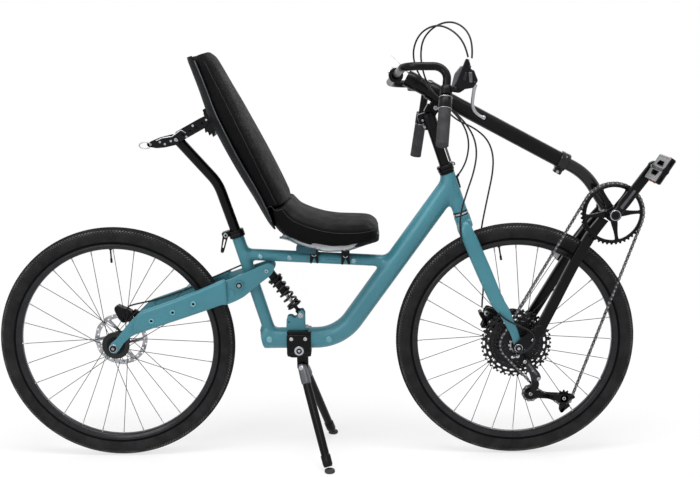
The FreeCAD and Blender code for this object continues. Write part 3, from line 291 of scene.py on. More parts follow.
SILVER = finish_of("brushed_silver", (190, 192, 195), 0.3, metal=1.0, second=(160, 162, 166),
                   patch=40, grain=520, bump=0.12, stretch=(1, 1, 0.25))
STEEL = finish_of("worn_bright_steel", (178, 179, 182), 0.26, metal=1.0, second=(146, 147, 151),
                  patch=60, grain=700, bump=0.1)
CHAIN_STEEL = finish_of("oiled_chain_steel", (104, 104, 106), 0.34, metal=0.95,
                        second=(58, 58, 60), patch=90, grain=800, bump=0.12)
COG_STEEL = finish_of("blackened_cog_steel", (36, 36, 38), 0.36, metal=0.6,
                      second=(26, 26, 28), patch=50, grain=700, bump=0.1, specular=0.3)
RUBBER = finish_of("tyre_rubber", (31, 31, 32), 0.78, second=(18, 18, 19), patch=26, grain=1400,
                   bump=0.35, rough_range=0.1, specular=0.22)
RIM_BLACK = finish_of("rim_black", (34, 35, 37), 0.26, metal=0.3, second=(24, 25, 27), patch=30,
                      grain=900, bump=0.06, specular=0.3)
GRIP = finish_of("grip_rubber", (62, 62, 64), 0.78, second=(50, 50, 52), patch=30, grain=1700,
                 bump=0.5, rough_range=0.1, specular=0.2)
LEATHER = finish_of("black_seat_leather", (10, 10, 11), 0.6, second=(6, 6, 7), patch=9,
                    grain=2600, bump=0.35, rough_range=0.08, cells=760, specular=0.06)
# the black carries a slight teal tint: a painted teal reflection
SHELL = finish_of("shell_satin_black", (9, 15, 18), 0.55, second=(6, 9, 11), patch=8,
                  grain=1200, bump=0.05, specular=0.06)
# lighter gloss grey for the bead along the shell's sides: a painted highlight line
SHELL_EDGE_HIGHLIGHT = finish_of("shell_edge_painted_highlight", (46, 48, 52), 0.18, metal=0.4, second=(26, 27, 30),
                      patch=16, grain=700, bump=0.04, coat=0.4, coat_rough=0.06)
PAN = finish_of("pan_polished", (150, 152, 155), 0.2, metal=0.9, second=(116, 118, 122),
                patch=10, grain=500, bump=0.05)
HOSE = finish_of("cable_housing", (17, 17, 18), 0.42, second=(13, 13, 14), patch=30, grain=1500,
                 bump=0.1, specular=0.3)
ORANGE = finish_of("reflector_orange", (214, 92, 28), 0.2, second=(188, 70, 18), patch=70,
                   grain=300, bump=0.1, coat=0.6, coat_rough=0.05, cells=330)
THREAD = finish_of("seat_thread", (52, 52, 54), 0.6, second=(40, 40, 42), patch=60, grain=2400,
                   bump=0.3, specular=0.2)
PEDAL_GREY = finish_of("pedal_cast_grey", (126, 128, 130), 0.45, metal=0.35,
                       second=(108, 110, 112), patch=26, grain=900, bump=0.2, specular=0.3)
SPOKE_STEEL = finish_of("spoke_black_steel", (34, 35, 38), 0.3, metal=0.6,
                        second=(24, 25, 27), patch=12, grain=900, bump=0.04, specular=0.3)
# lighter grey for the outer tread blocks: painted highlight specks on their edges
RUBBER_HIGHLIGHT = finish_of("tread_painted_highlight", (92, 92, 92), 0.5, second=(40, 40, 41),
                        patch=30, grain=900, bump=0.2, specular=0.2)
# near-black fill for holes, slots, recesses and the rim groove: painted shade
HOLE_SHADE = finish_of("painted_hole_shade", (7, 7, 8), 0.9, second=(5, 5, 6), patch=40, grain=900,
                 specular=0.1)

# ---------------- shapes


def unit(vector):
    vector = np.asarray(vector, float)
    return vector / np.linalg.norm(vector)


def polar(radius, turn):
    """Points of the side view, x and z, at turns from forward."""
    return np.stack((radius * np.cos(turn), radius * np.sin(turn)), -1)


def turns_round(count):
    return np.linspace(0, FULL_TURN, count, endpoint=False)


def ways_along(line):
    """The direction at each point of a line."""
    way = np.gradient(line, axis=0)
    return way / np.linalg.norm(way, axis=1)[:, None]


def side_of(direction):
    """Two directions square to this one and to each other."""
    direction = unit(direction)
    helper = (0, 1, 0) if abs(direction[1]) < 0.9 else (1, 0, 0)
    side = unit(np.cross(helper, direction))
    return side, np.cross(direction, side)


def skin(rings, loop=False, caps=True):
    """A surface through rings of points, (verts, faces)."""
    rings = np.asarray(rings, float)
    rows, count = rings.shape[:2]
    index = np.arange(rows * count).reshape(rows, count)
    tall = np.vstack((index, index[:1])) if loop else index
    ahead = np.roll(tall, -1, axis=1)
    quads = np.stack((tall[:-1], ahead[:-1], ahead[1:], tall[1:]), -1)
    faces = quads.reshape(-1, 4).tolist()
    if caps and not loop:
        faces += [index[0][::-1].tolist(), index[-1].tolist()]
    return rings.reshape(-1, 3), faces


def lathe(profile, place, axis=(0, 1, 0), count=64, loop=False, caps=True):
    """Turned shape: profile is (radius, distance along the axis) pairs."""
    axis = unit(axis)
    side, up = side_of(axis)
    turn = turns_round(count)[:, None]
    spokes = np.cos(turn) * side + np.sin(turn) * up
    place = np.asarray(place, float)
    return skin([place + axis * along + max(radius, 0.02) * spokes
                 for radius, along in profile], loop=loop, caps=caps)


def hollow(profile, place, axis=(0, 1, 0), count=64):
    """A turned shape with a bore: the profile closes on itself."""
    return lathe(profile, place, axis, count, loop=True)


def transported(line):
    """Tangent and side directions along a line, with no twist."""
    tangent = ways_along(line)
    side = side_of(tangent[0])[0]
    sides = []
    for way in tangent:
        side = unit(side - way * np.dot(side, way))
        sides.append(side)
    sides = np.array(sides)
    return tangent, sides, np.cross(tangent, sides)


def sweep(line, radius, count=24, caps=True, loop=False):
    """A round tube along a line; radius may be one number or one for each point."""
    line = np.asarray(line, float)
    _, side, up = transported(line)
    radius = np.broadcast_to(np.asarray(radius, float), (len(line),))[:, None, None]
    turn = turns_round(count)[None, :, None]
    return skin(line[:, None] + radius * (np.cos(turn) * side[:, None]
                                          + np.sin(turn) * up[:, None]), caps=caps, loop=loop)


def straight(start, end, step=6.0):
    start, end = np.asarray(start, float), np.asarray(end, float)
    count = max(2, int(np.linalg.norm(end - start) / step) + 1)
    return start + np.linspace(0, 1, count)[:, None] * (end - start)


def bent(points, radii, step=4.0):
    """A rigid tube's centre line: straight runs and round bends."""
    points = [np.asarray(p, float) for p in points]
    line = [points[0]]
    for corner, before, after, radius in zip(points[1:], points, points[2:], radii):
        back, ahead = unit(before - corner), unit(after - corner)
        half = math.acos(np.clip(back @ ahead, -1, 1)) / 2
        first, last = (corner + way * (radius / math.tan(half)) for way in (back, ahead))
        hub = corner + unit(back + ahead) * (radius / math.sin(half))
        line += list(straight(line[-1], first, step))[1:]
        sweep_angle = math.pi - 2 * half
        arm, other = first - hub, last - hub
        square = unit(other - arm * (other @ arm) / (arm @ arm)) * radius
        count = max(4, int(sweep_angle * radius / step))
        for turn in np.linspace(0, sweep_angle, count)[1:]:
            line.append(hub + arm * math.cos(turn) + square * math.sin(turn))
    line += list(straight(line[-1], points[-1], step))[1:]
    return np.array(line)


def smooth_rows(rows, count):
    """Rows of numbers, eased between by cubic curves with no overshoot in level stretches."""
    rows = np.asarray(rows, float)
    run = np.concatenate(([0], np.cumsum(np.linalg.norm(np.diff(rows[:, :2], axis=0), axis=1))))
    step = np.diff(run)[:, None]
    slope = np.diff(rows, axis=0) / step
    tangent = np.zeros_like(rows)
    same = slope[:-1] * slope[1:] > 0
    safe = np.where(same, slope[:-1] * slope[1:], 1)
    total = np.where(same, slope[:-1] + slope[1:], 1)
    tangent[1:-1] = np.where(same, 2 * safe / total, 0)
    tangent[0], tangent[-1] = slope[0], slope[-1]
    at = np.linspace(0, run[-1], count)
    low = np.clip(np.searchsorted(run, at, side="right") - 1, 0, len(run) - 2)
    part = ((at - run[low]) / np.diff(run)[low])[:, None]
    gap = step[low]
    return ((2 * part ** 3 - 3 * part ** 2 + 1) * rows[low]
            + (part ** 3 - 2 * part ** 2 + part) * gap * tangent[low]
            + (3 * part ** 2 - 2 * part ** 3) * rows[low + 1]
            + (part ** 3 - part ** 2) * gap * tangent[low + 1])


def oval(centre, up, side, height, width, power=2.0, count=40):
    """A closed ring: an ellipse at power 2, squarer above."""
    cos, sin = polar(1.0, turns_round(count)).T
    lift = np.sign(sin) * np.abs(sin) ** (2 / power) * height / 2
    spread = np.sign(cos) * np.abs(cos) ** (2 / power) * width / 2
    return np.asarray(centre) + lift[:, None] * np.asarray(up) + spread[:, None] * np.asarray(side)


def limb(stations, lean, power=4.0, count=40, rows=60, side=1):
    """A tapered arm through (x, z, y, height, width) stations.

    lean is how far each section's height leans back from the vertical, in degrees."""
    lean = math.radians(lean)
    up = np.array((-math.sin(lean), 0, math.cos(lean)))
    return skin([oval((x, side * y, z), up, (0, 1, 0), tall, wide, power, count)
                 for x, z, y, tall, wide in smooth_rows(stations, rows)])


def circle(radius, centre=(0, 0), count=24):
    return np.asarray(centre) + polar(radius, turns_round(count))


def hull(first, r_first, second, r_second, count=9):
    """The outline round two circles."""
    first, second = np.asarray(first, float), np.asarray(second, float)
    apart = second - first
    way = math.atan2(apart[1], apart[0])
    lean = math.acos((r_first - r_second) / np.linalg.norm(apart))
    near = np.linspace(way + lean, way + FULL_TURN - lean, count)
    far = np.linspace(way - lean, way + lean, count)
    return np.concatenate((first + polar(r_first, near), second + polar(r_second, far)))


def rounded(points, radius, count=5):
    """An outline with its corners rounded; radius is one number or one for each corner."""
    points = np.asarray(points, float)
    radii = np.broadcast_to(np.asarray(radius, float), (len(points),))
    made = []
    for index, corner in enumerate(points):
        back = points[index - 1] - corner
        ahead = points[(index + 1) % len(points)] - corner
        cut = min(radii[index], 0.48 * np.linalg.norm(back), 0.48 * np.linalg.norm(ahead))
        first, last = corner + unit(back) * cut, corner + unit(ahead) * cut
        for t in np.linspace(0, 1, count):
            made.append((1 - t) ** 2 * first + 2 * t * (1 - t) * corner + t ** 2 * last)
    return np.array(made)


def gear(teeth, tip, depth):
    """A toothed outline: tip is the radius over the teeth."""
    pitch = FULL_TURN / teeth
    foot, flank = tip - depth, tip - depth * 0.8
    # shares of the pitch from a tooth's middle, each with its radius
    shares, radii = zip((-0.5, foot), (-0.30, flank), (-0.16, tip), (0.16, tip), (0.30, flank))
    turn = np.arange(teeth)[:, None] * pitch + np.array(shares) * pitch
    return polar(np.tile(radii, teeth), turn.ravel())


def shrunk(loop, amount):
    """An outline moved inwards, by offsetting its edges."""
    ahead = np.roll(loop, -1, 0) - loop
    turning = np.sum(loop[:, 0] * np.roll(loop[:, 1], -1) - np.roll(loop[:, 0], -1) * loop[:, 1])
    normal = np.stack((-ahead[:, 1], ahead[:, 0]), -1) * np.sign(turning)
    normal /= np.linalg.norm(normal, axis=1)[:, None] + 1e-12
    before = np.roll(normal, 1, 0)
    fit = np.maximum(1 + np.sum(normal * before, 1), 0.35)[:, None]
    return loop + (normal + before) / fit * amount


def prism(outline, low, high, holes=(), bevel=0.5, steps=1):
    """A flat piece standing in the XZ plane from y = low to high, its edges eased."""
    loops = [np.asarray(outline, float)] + [np.asarray(hole, float) for hole in holes]
    verts, faces, tops, bottoms, start = [], [], [], [], 0
    inside = []
    for number, loop in enumerate(loops):
        inwards = bevel if number == 0 else -bevel
        eased = shrunk(loop, inwards)
        inside.append(eased)
        turns = np.linspace(0, math.pi / 2, steps + 1)
        levels = [(shrunk(loop, inwards * (1 - math.sin(t))), low + bevel * (1 - math.cos(t)))
                  for t in turns]
        levels += [(ring, low + high - y) for ring, y in levels[::-1]]
        count = len(loop)
        for ring, y in levels:
            verts.append(np.stack((ring[:, 0], np.full(count, y), ring[:, 1]), -1))
        index = np.arange(len(levels) * count).reshape(-1, count) + start
        ahead = np.roll(index, -1, axis=1)
        faces += np.stack((index[:-1], ahead[:-1], ahead[1:], index[1:]),
                          -1).reshape(-1, 4).tolist()
        bottoms += index[0].tolist()
        tops += index[-1].tolist()
        start += len(levels) * count
    flat = tessellate_polygon([[Vector((x, z, 0)) for x, z in ring] for ring in inside])
    for triangle in flat:
        faces.append([bottoms[i] for i in triangle])
        faces.append([tops[i] for i in triangle][::-1])
    return np.concatenate(verts), faces


def box(sizes, centre, degrees=0.0, corner=2.5, bevel=0.8):
    """A rounded block, turned by degrees about the Y axis through its centre."""
    x, y, z = (s / 2 for s in sizes)
    outline = rounded(((-x, -z), (x, -z), (x, z), (-x, z)), corner)
    return shifted(turned(prism(outline, -y, y, bevel=bevel), "Y", degrees), centre)


def turned(surface, axis, degrees, pivot=(0, 0, 0)):
    """A surface turned about an axis, a letter or a direction, through pivot."""
    way = {"X": (1, 0, 0), "Y": (0, 1, 0), "Z": (0, 0, 1)}[axis] if isinstance(axis, str) else axis
    matrix = np.array(Matrix.Rotation(math.radians(degrees), 3, Vector(way)))
    verts, faces = surface
    return (np.asarray(verts) - pivot) @ matrix.T + pivot, faces


def shifted(surface, offset):
    verts, faces = surface
    return np.asarray(verts, float) + np.asarray(offset, float), faces


def aligned(surface, place, way):
    """A surface made about the Y axis, set at place with its Y along way."""
    way = unit(way)
    side = unit(np.cross(way, (0, 0, 1))) if abs(way[2]) < 0.99 else side_of(way)[0]
    top = np.cross(side, way)
    verts, faces = surface
    verts = np.asarray(verts)
    return (np.asarray(place) + verts[:, :1] * side + verts[:, 1:2] * way
            + verts[:, 2:] * top, faces)


def mirrored(surface):
    verts, faces = surface
    return np.asarray(verts) * (1, -1, 1), [face[::-1] for face in faces]


def bolt(place, way, radius, height, socket=0.52):
    """A bolt's head with a hexagon socket."""
    count = 24
    turn = turns_round(count)
    hexagon = 1 / np.cos((turn + math.pi / 6) % (math.pi / 3) - math.pi / 6)
    rings = []
    for reach, along, shape in ((1, 0, 1), (1, height * 0.75, 1), (0.86, height, 1),
                                (socket * 1.02, height, hexagon * 0.9),
                                (socket, height * 0.9, hexagon * 0.9),
                                (socket * 0.96, height * 0.2, hexagon * 0.9)):
        r = radius * reach * shape
        rings.append(np.stack((r * np.cos(turn), np.full(count, along), r * np.sin(turn)), -1))
    return aligned(skin(rings), place, way)


def washer(place, way, outer, inner, height):
    return hollow(((inner, 0), (outer, 0), (outer, height * 0.7), (outer - 0.4, height),
                   (inner, height)), place, way, 40)


def gap_to(points, line, radius):
    """Distance from points to the surface of a round tube along line."""
    nearest = np.full(len(points), 1e9)
    for start, end in zip(line[:-1], line[1:]):
        run = end - start
        part = np.clip((points - start) @ run / (run @ run), 0, 1)
        nearest = np.minimum(nearest, np.linalg.norm(points - start - part[:, None] * run,
                                                     axis=1))
    return nearest - radius


def closed_mesh(name, places, faces):
    """A mesh through places, its faces turned outwards."""
    mesh = bpy.data.meshes.new(name)
    mesh.from_pydata(places.tolist(), [], faces)
    work = bmesh.new()
    work.from_mesh(mesh)
    bmesh.ops.recalc_face_normals(work, faces=work.faces)
    work.to_mesh(mesh)
    work.free()
    return mesh


def placed(made, body, slot, *replaced):
    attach(made, body)
    if replaced:
        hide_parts(*replaced)
    return made


def beside(place, side):
    """The same place on one side of the bicycle; place is x, distance out and z."""
    return np.asarray(place, float) * (1, side, 1)


def span(side, near, far):
    """The y of a part's two faces on one side of the bicycle, lower first."""
    return sorted((side * near, side * far))


class Piece:
    """Surfaces gathered into one named piece of the bicycle."""

    def __init__(self, name):
        self.name = name
        self.verts, self.faces, self.which, self.finishes = [], [], [], []
        self.count = 0

    def add(self, surface, finish):
        verts, faces = surface
        if finish not in self.finishes:
            self.finishes.append(finish)
        self.verts.append(np.asarray(verts, float))
        self.faces += [[i + self.count for i in face] for face in faces]
        self.which += [self.finishes.index(finish)] * len(faces)
        self.count += len(verts)
        return self

    def plates(self, outline, near, far, finish, holes=(), bevel=0.5):
        """The same upright plate on both sides, from near to far out."""
        for side in SIDES:
            self.add(prism(outline, *span(side, near, far), holes, bevel), finish)

    def washers(self, place, outer, inner, height, finish=SILVER):
        """The same washer on both sides; place is x, distance out and z."""
        for side in SIDES:
            self.add(washer(beside(place, side), ACROSS * side, outer, inner, height), finish)

    def bolts(self, place, radius, height, socket=0.52, finish=SILVER):
        """The same bolt on both sides; place is x, distance out and z."""
        for side in SIDES:
            self.add(bolt(beside(place, side), ACROSS * side, radius, height, socket), finish)

    def made(self, body, slot, *replaced, sharp=38.0):
        mesh = closed_mesh(self.name, in_frame(np.concatenate(self.verts)), self.faces)
        for finish in self.finishes:
            mesh.materials.append(finish)
        mesh.polygons.foreach_set("material_index", self.which)
        mesh.shade_smooth()
        mesh.set_sharp_from_angle(angle=math.radians(sharp))
        return placed(held(self.name, mesh), body, slot, *replaced)


# ---------------- driving places

LEAN = math.radians(18.615)                       # steering axis from the vertical
AXIS = np.array((-math.sin(LEAN), 0, math.cos(LEAN)))
FORWARD = np.array((AXIS[2], 0, -AXIS[0]))        # square to the steering axis
HEAD_FOOT = np.array((1019.3, 0, 730.8))
RISER_FOOT = 131.0                                # where the riser starts, up the axis
BOOM_DEGREES = 28.5
BOOM_SLOPE = math.radians(BOOM_DEGREES)
BOOM = np.array((math.cos(BOOM_SLOPE), 0, -math.sin(BOOM_SLOPE)))
BOOM_FOOT = np.array((866.0, 0, 1120.0))
BOOM_RADIUS, BOOM_LENGTH = 22.25, 500.0
CHAIN_SIDE = 50.0


def on_axis(distance, forward=0.0, left=0.0):
    return HEAD_FOOT + AXIS * distance + FORWARD * forward + ACROSS * left


# ---------------- cables

# The same routes as in the part's source: x, y, z.
SHIFT_UPPER = (
    (1015, -221, 1180), (1008, -214, 1214), (978, -190, 1250), (938, -158, 1266), (898, -130, 1248),
    (878, -105, 1208), (880, -82, 1166), (898, -62, 1126), (930, -50, 1086), (975, -42, 1046),
    (1022, -36, 1002), (1052, -34, 957), (1061, -35, 909), (1052, -38, 856), (1033, -43, 802),
    (1016, -48, 748), (1011, -53, 697), (1017, -59, 656))
SHIFT_LOWER = (
    (1121, -83, 454), (1135, -86, 440), (1160, -88, 426), (1190, -91, 414), (1220, -94, 398),
    (1226, -95, 374), (1211, -94, 350), (1186, -90, 334), (1160, -84, 321))
REAR_BRAKE_UPPER = (
    (1024, -230, 1177), (1027, -224, 1212), (1012, -200, 1253), (977, -168, 1274),
    (936, -138, 1264), (904, -112, 1231), (898, -88, 1187), (905, -66, 1144), (920, -46, 1104),
    (950, -33, 1066), (990, -25, 1030), (1024, -18, 990), (1040, -14, 944), (1037, -9, 898),
    (1024, -4, 862), (1012, 0, 845))
REAR_BRAKE_LOWER = (
    (397, 20.5, 598), (399, 36, 592), (385, 45, 580), (348, 48, 564), (292, 48, 540),
    (228, 50, 510), (164, 50, 486), (112, 50, 470), (72, 49, 461), (42, 46, 456), (24, 44, 450))
FRONT_BRAKE = (
    (912, 214, 1098), (938, 196, 1110), (962, 160, 1094), (972, 120, 1062), (980, 84, 1026),
    (1010, 52, 996), (1058, 30, 976), (1096, 14, 944), (1113, 13, 898), (1112, 16, 846),
    (1102, 24, 790), (1092, 30, 734), (1083, 32, 684), (1079, 34, 632), (1082, 39, 580),
    (1089, 44, 532), (1093, 50, 490), (1090, 55, 458), (1090, 56, 436))


HOSE_RADIUS = 2.5


def cable(name, route):
    """A smooth housing along a route, as a mesh."""
    curve = bpy.data.curves.new(name, "CURVE")
    curve.dimensions = "3D"
    spline = curve.splines.new("NURBS")
    spline.points.add(len(route) - 1)
    for point, place in zip(spline.points, route):
        point.co = (*in_frame(place), 1)
    spline.order_u = 3
    spline.use_endpoint_u = True
    spline.resolution_u = 10
    curve.bevel_depth = HOSE_RADIUS * MM
    curve.bevel_resolution = 4
    curve.use_fill_caps = True
    holder = held(name + "_route", curve)
    bpy.context.view_layer.update()
    mesh = bpy.data.meshes.new_from_object(
        holder.evaluated_get(bpy.context.evaluated_depsgraph_get()))
    bpy.data.objects.remove(holder)
    mesh.materials.clear()
    mesh.materials.append(HOSE)
    mesh.name = name
    mesh.shade_smooth()
    return held(name, mesh)


placed(cable("shifter_cable_upper", SHIFT_UPPER), "front_end", "cable_black", "shift_cable")
placed(cable("shifter_cable_lower", SHIFT_LOWER), "front_end", "cable_black")
placed(cable("rear_brake_hose_lower", REAR_BRAKE_LOWER), "frame", "cable_black",
       "rear_brake_line")
placed(cable("front_brake_hose", FRONT_BRAKE), "front_end", "cable_black", "front_brake_cable")
rear_hose = cable("rear_brake_hose_upper", REAR_BRAKE_UPPER)
# on the bicycle the loop at the stem turns with the steering and the end in the head tube stays;
# here the hose is baked where it lies, on no moving part, and the two places below are worked out
# but not used
in_frame((1040, -14, 960))
in_frame((1014, 0, 852))
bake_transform(rear_hose)
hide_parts("rear_brake_cable")

# ---------------- wheels

TYRE_RING, TYRE_CROWN = WHEEL_RADIUS - 21.4, 20.1
TYRE_SIDE, TYRE_DEPTH = 19.6, 29.0
TYRE_SEAT = 140                                    # degrees of the section down to the rim
BEAD_ROW, BEAD_SPREAD, BEAD_RISE = 112, 3, 0.5     # the raised line round the sidewall
CASING_RINGS, CASING_POINTS = 180, 26
TREAD_COUNT, TREAD_FOOT, TREAD_RISE, TREAD_EASE = 232, -0.6, 1.25, 0.45
HIGHLIGHT_FROM = 50                                     # degrees: blocks further out are drawn in lighter grey, a painted highlight
TREAD_ROWS = (
    # degrees across the section, block's length, half width, skew, stagger
    (0, 5.6, 1.7, 0.0, 0), (11, 5.0, 1.5, 0.5, 0.5), (22, 4.6, 1.5, 0.5, 0),
    (36, 6.0, 2.3, 0.7, 0.5), (51, 5.4, 2.3, 0.6, 0), (64, 2.6, 1.5, 0.0, 0.5))
BLOCK_CORNERS = ((-1, -1), (1, -1), (1, 1), (-1, 1))
BLOCK_FACES = np.array(((4, 5, 6, 7), (0, 1, 5, 4), (1, 2, 6, 5), (2, 3, 7, 6), (3, 0, 4, 7)))
RIM_EDGE, RIM_INNER = 306.5, 286.0
RIM_SIDE = ((RIM_EDGE, 13.9), (301.5, 14.1), (300.2, 13.2), (299.2, 13.2), (298, 14.0),
            (290, 11.4), (287.2, 8.6), (RIM_INNER, 5))
RIM_WELL = ((RIM_EDGE, 12.6), (301, 12.2), (300, 0), (301, -12.2), (RIM_EDGE, -12.6))
RIM_PROFILE = (RIM_SIDE[:1] + RIM_WELL + tuple((r, -y) for r, y in RIM_SIDE)
               + RIM_SIDE[:0:-1])
# the dark groove between tyre and rim, a near-black ring of painted shade under the rim's hooked
# edge: radius, distance out
RIM_SHADE_RING = ((RIM_EDGE + 2.6, 12.8), (RIM_EDGE + 1.6, 14.6), (302.4, 14.5))
SPOKE_GROUPS, SPOKE_CROSS, SPOKE_RADIUS = 7, math.radians(62), 1.0
SPOKE_HEAD = ((2.2, -2.4), (2.4, -1.4), (2.4, 0.4), (1.2, 1.2))
NIPPLE = ((1.2, -15), (1.9, -14), (1.9, -4), (2.9, -2.5), (2.9, 0))
VALVE = ((4.6, -3), (4.6, -1), (2.4, -1), (2.4, -28), (3.4, -29), (3.4, -41), (2.0, -42))
VALVE_TURNS = {"rear": 91.3, "front": 99.9}        # degrees round the wheel from forward
REAR_FLANGES, FRONT_FLANGES = ((-24, 24), (24, 27)), ((-22, 25), (34, 27))     # y, radius


def wheel_way(turn):
    """The direction at a turn from forward, in the wheel's plane."""
    return np.array((math.cos(turn), 0, math.sin(turn)))


def tyre_point(around, across, rise):
    """A point of the casing: around the wheel and across the section, in radians."""
    tall = np.where(np.cos(across) > 0, TYRE_CROWN, TYRE_DEPTH)
    radius = TYRE_RING + (tall + rise) * np.cos(across)
    return np.stack((radius * np.cos(around), (TYRE_SIDE + rise) * np.sin(across),
                     radius * np.sin(around)), -1)


def casing():
    seat = math.radians(TYRE_SEAT)
    across = np.linspace(-seat, seat, CASING_POINTS)
    beads = BEAD_RISE * np.exp(-((np.abs(np.degrees(across)) - BEAD_ROW) / BEAD_SPREAD) ** 2)
    return skin([tyre_point(np.full(len(across), turn), across, beads)
                 for turn in turns_round(CASING_RINGS)], loop=True)


def tread_blocks(row, length, half_width, skew, stagger):
    """One row of the tread round the tyre, each block a little smaller at its top."""
    turn = (np.arange(TREAD_COUNT) + stagger) * FULL_TURN / TREAD_COUNT
    verts = []
    for rise, ease in ((TREAD_FOOT, 0.0), (TREAD_RISE, TREAD_EASE)):
        for u, v in BLOCK_CORNERS:
            along = (u * (length / 2 - ease) + skew * v * half_width) / WHEEL_RADIUS
            side = math.radians(row) + v * (half_width - ease) / TYRE_CROWN
            verts.append(tyre_point(turn + along, np.full(TREAD_COUNT, side), rise))
    base = np.arange(TREAD_COUNT)[:, None, None] * len(verts)
    return np.stack(verts, 1).reshape(-1, 3), (base + BLOCK_FACES).reshape(-1, 4).tolist()


def tyre(piece, axle):
    piece.add(shifted(casing(), axle), RUBBER)
    for row, length, half_width, skew, stagger in TREAD_ROWS:
        # the outer rows in lighter grey: a painted highlight
        finish = RUBBER_HIGHLIGHT if row > HIGHLIGHT_FROM else RUBBER
        for way in (1, -1) if row else (1,):
            blocks = tread_blocks(row * way, length, half_width, skew * way, stagger)
            piece.add(shifted(blocks, axle), finish)
    return piece


def spoke_ends(flanges):
    """Hub end and rim end of each of the crossed spokes; flanges are (y, radius) pairs."""
    for group in range(SPOKE_GROUPS):
        for number, (side, way) in enumerate(((0, 1), (1, 1), (0, -1), (1, -1))):
            y, radius = flanges[side]
            rim_turn = FULL_TURN * (group + number / 4) / SPOKE_GROUPS
            hub = radius * wheel_way(rim_turn + way * SPOKE_CROSS)
            rim = (RIM_INNER + 2) * wheel_way(rim_turn)
            yield hub + ACROSS * (y + 1.2 * way), rim + ACROSS * math.copysign(3.0, y)


def wheel(word, axle, flanges):
    body = word + "_wheel"
    tyre(Piece(word + "_tyre_with_tread"), axle).made(body, "tyre_rubber", word + "_tyre",
                                                      sharp=30)
    rim = Piece(body + "_rim").add(hollow(RIM_PROFILE, axle, count=160), RIM_BLACK)
    for side in SIDES:
        rim.add(lathe([(radius, side * y) for radius, y in RIM_SHADE_RING], axle, count=120,
                      caps=False), HOLE_SHADE)
    valve_way = wheel_way(math.radians(VALVE_TURNS[word]))
    rim.add(lathe(VALVE, axle + valve_way * RIM_INNER, valve_way, 16), BLACK_ALLOY)
    rim.made(body, "rim_black", word + "_rim")
    spokes = Piece(body + "_spokes")
    for hub_end, rim_end in spoke_ends(flanges):
        way = unit(rim_end - hub_end)
        line = axle + np.array((hub_end, (hub_end + rim_end) / 2, rim_end))
        spokes.add(sweep(line, SPOKE_RADIUS, 8), SPOKE_STEEL)
        spokes.add(lathe(SPOKE_HEAD, axle + hub_end, way, 12), STEEL)
        spokes.add(lathe(NIPPLE, axle + rim_end, way, 12), STEEL)
    spokes.made(body, "bright_steel", word + "_spokes")


wheel("rear", REAR_AXLE, REAR_FLANGES)
wheel("front", FRONT_AXLE, FRONT_FLANGES)

# ---------------- brake rotors

ROTOR_RADIUS, ROTOR_HALF, ROTOR_BAND = 80.0, 1.0, 14.5
WINDOW_FOOT, WINDOW_EDGE, FOOT_START, FOOT_END = 24.5, 0.09, 0.62, 0.27     # millimetres, radians
ROTOR_ARMS, ROTOR_HOLES, ROTOR_WAVES, WAVE_DEPTH = 6, 30, 12, 0.7
HOLE_RADIUS, HOLE_ROW, ROW_STEP = 2.7, 70.2, 5.2
CARRIER_RADIUS, CARRIER_ROW = 25.5, 17.6


def rotor_windows():
    """The openings between the rotor's swept arms."""
    step = FULL_TURN / ROTOR_ARMS
    for number in range(ROTOR_ARMS):
        begin = step * number
        rim_turns = np.linspace(begin + WINDOW_EDGE, begin + step - WINDOW_EDGE, 14)
        hub_turns = np.linspace(begin + step - FOOT_START, begin - FOOT_END, 8)
        yield np.concatenate((polar(ROTOR_RADIUS - ROTOR_BAND, rim_turns),
                              polar(WINDOW_FOOT, hub_turns)))


def rotor(name, axle, y, body, replaced):
    """Brake rotor: a drilled ring on swept arms, on a black carrier."""
    turn = turns_round(144)
    outline = polar(ROTOR_RADIUS - WAVE_DEPTH + WAVE_DEPTH * np.cos(ROTOR_WAVES * turn), turn)
    holes = [circle(HOLE_RADIUS, polar(HOLE_ROW + ROW_STEP * (number % 2),
                                       FULL_TURN * number / ROTOR_HOLES), 10)
             for number in range(ROTOR_HOLES)]
    holes += list(rotor_windows()) + [circle(17, count=30)]
    place = axle + ACROSS * y
    piece = Piece(name)
    piece.add(shifted(prism(outline, -ROTOR_HALF, ROTOR_HALF, holes, 0.25), place), STEEL)
    drilled = [circle(12.5, count=24)]
    drilled += [circle(4.2, polar(CARRIER_ROW, 0.4 + n * math.pi / 3), 10) for n in range(6)]
    half = ROTOR_HALF + 1.1
    piece.add(shifted(prism(circle(CARRIER_RADIUS, count=48), -half, half, drilled, 0.4),
                      place), BLACK_ALLOY)
    piece.add(hollow(((12, 1), (19, 1), (19, 3.2), (17.4, 4), (12, 4)), place, count=48),
              BLACK_ALLOY)
    piece.made(body, "bright_steel", replaced)


rotor("rear_brake_disc", REAR_AXLE, 38.0, "rear_wheel", "rear_rotor")
rotor("front_brake_disc", FRONT_AXLE, 55.0, "front_wheel", "front_rotor")

# ---------------- hubs

REAR_HUB = ((6.1, -49.5), (9, -49.5), (9, -34), (26, -33), (28, -27), (28, -22), (15, -19),
            (13.6, -6), (13.6, 6), (15, 18), (29, 21), (30, 24), (29, 27.5), (20, 28),
            (20, 36.6), (17, 36.6), (17, 42), (9, 43), (9, 49.5), (6.1, 49.5))
FRONT_HUB = ((6.1, -67), (9, -67), (16.9, -66), (16.9, -28), (27, -25), (28, -22), (27, -19),
             (15, -16), (13.4, 0), (15, 29), (28, 32), (29, 34.5), (28, 37), (20, 38),
             (20, 53.6), (17, 53.6), (17, 59), (9, 60), (9, 67), (6.1, 67))
HUB_DISC = prism(circle(41, count=72), -31, -27.5, [circle(22, count=36)], bevel=1.0, steps=2)

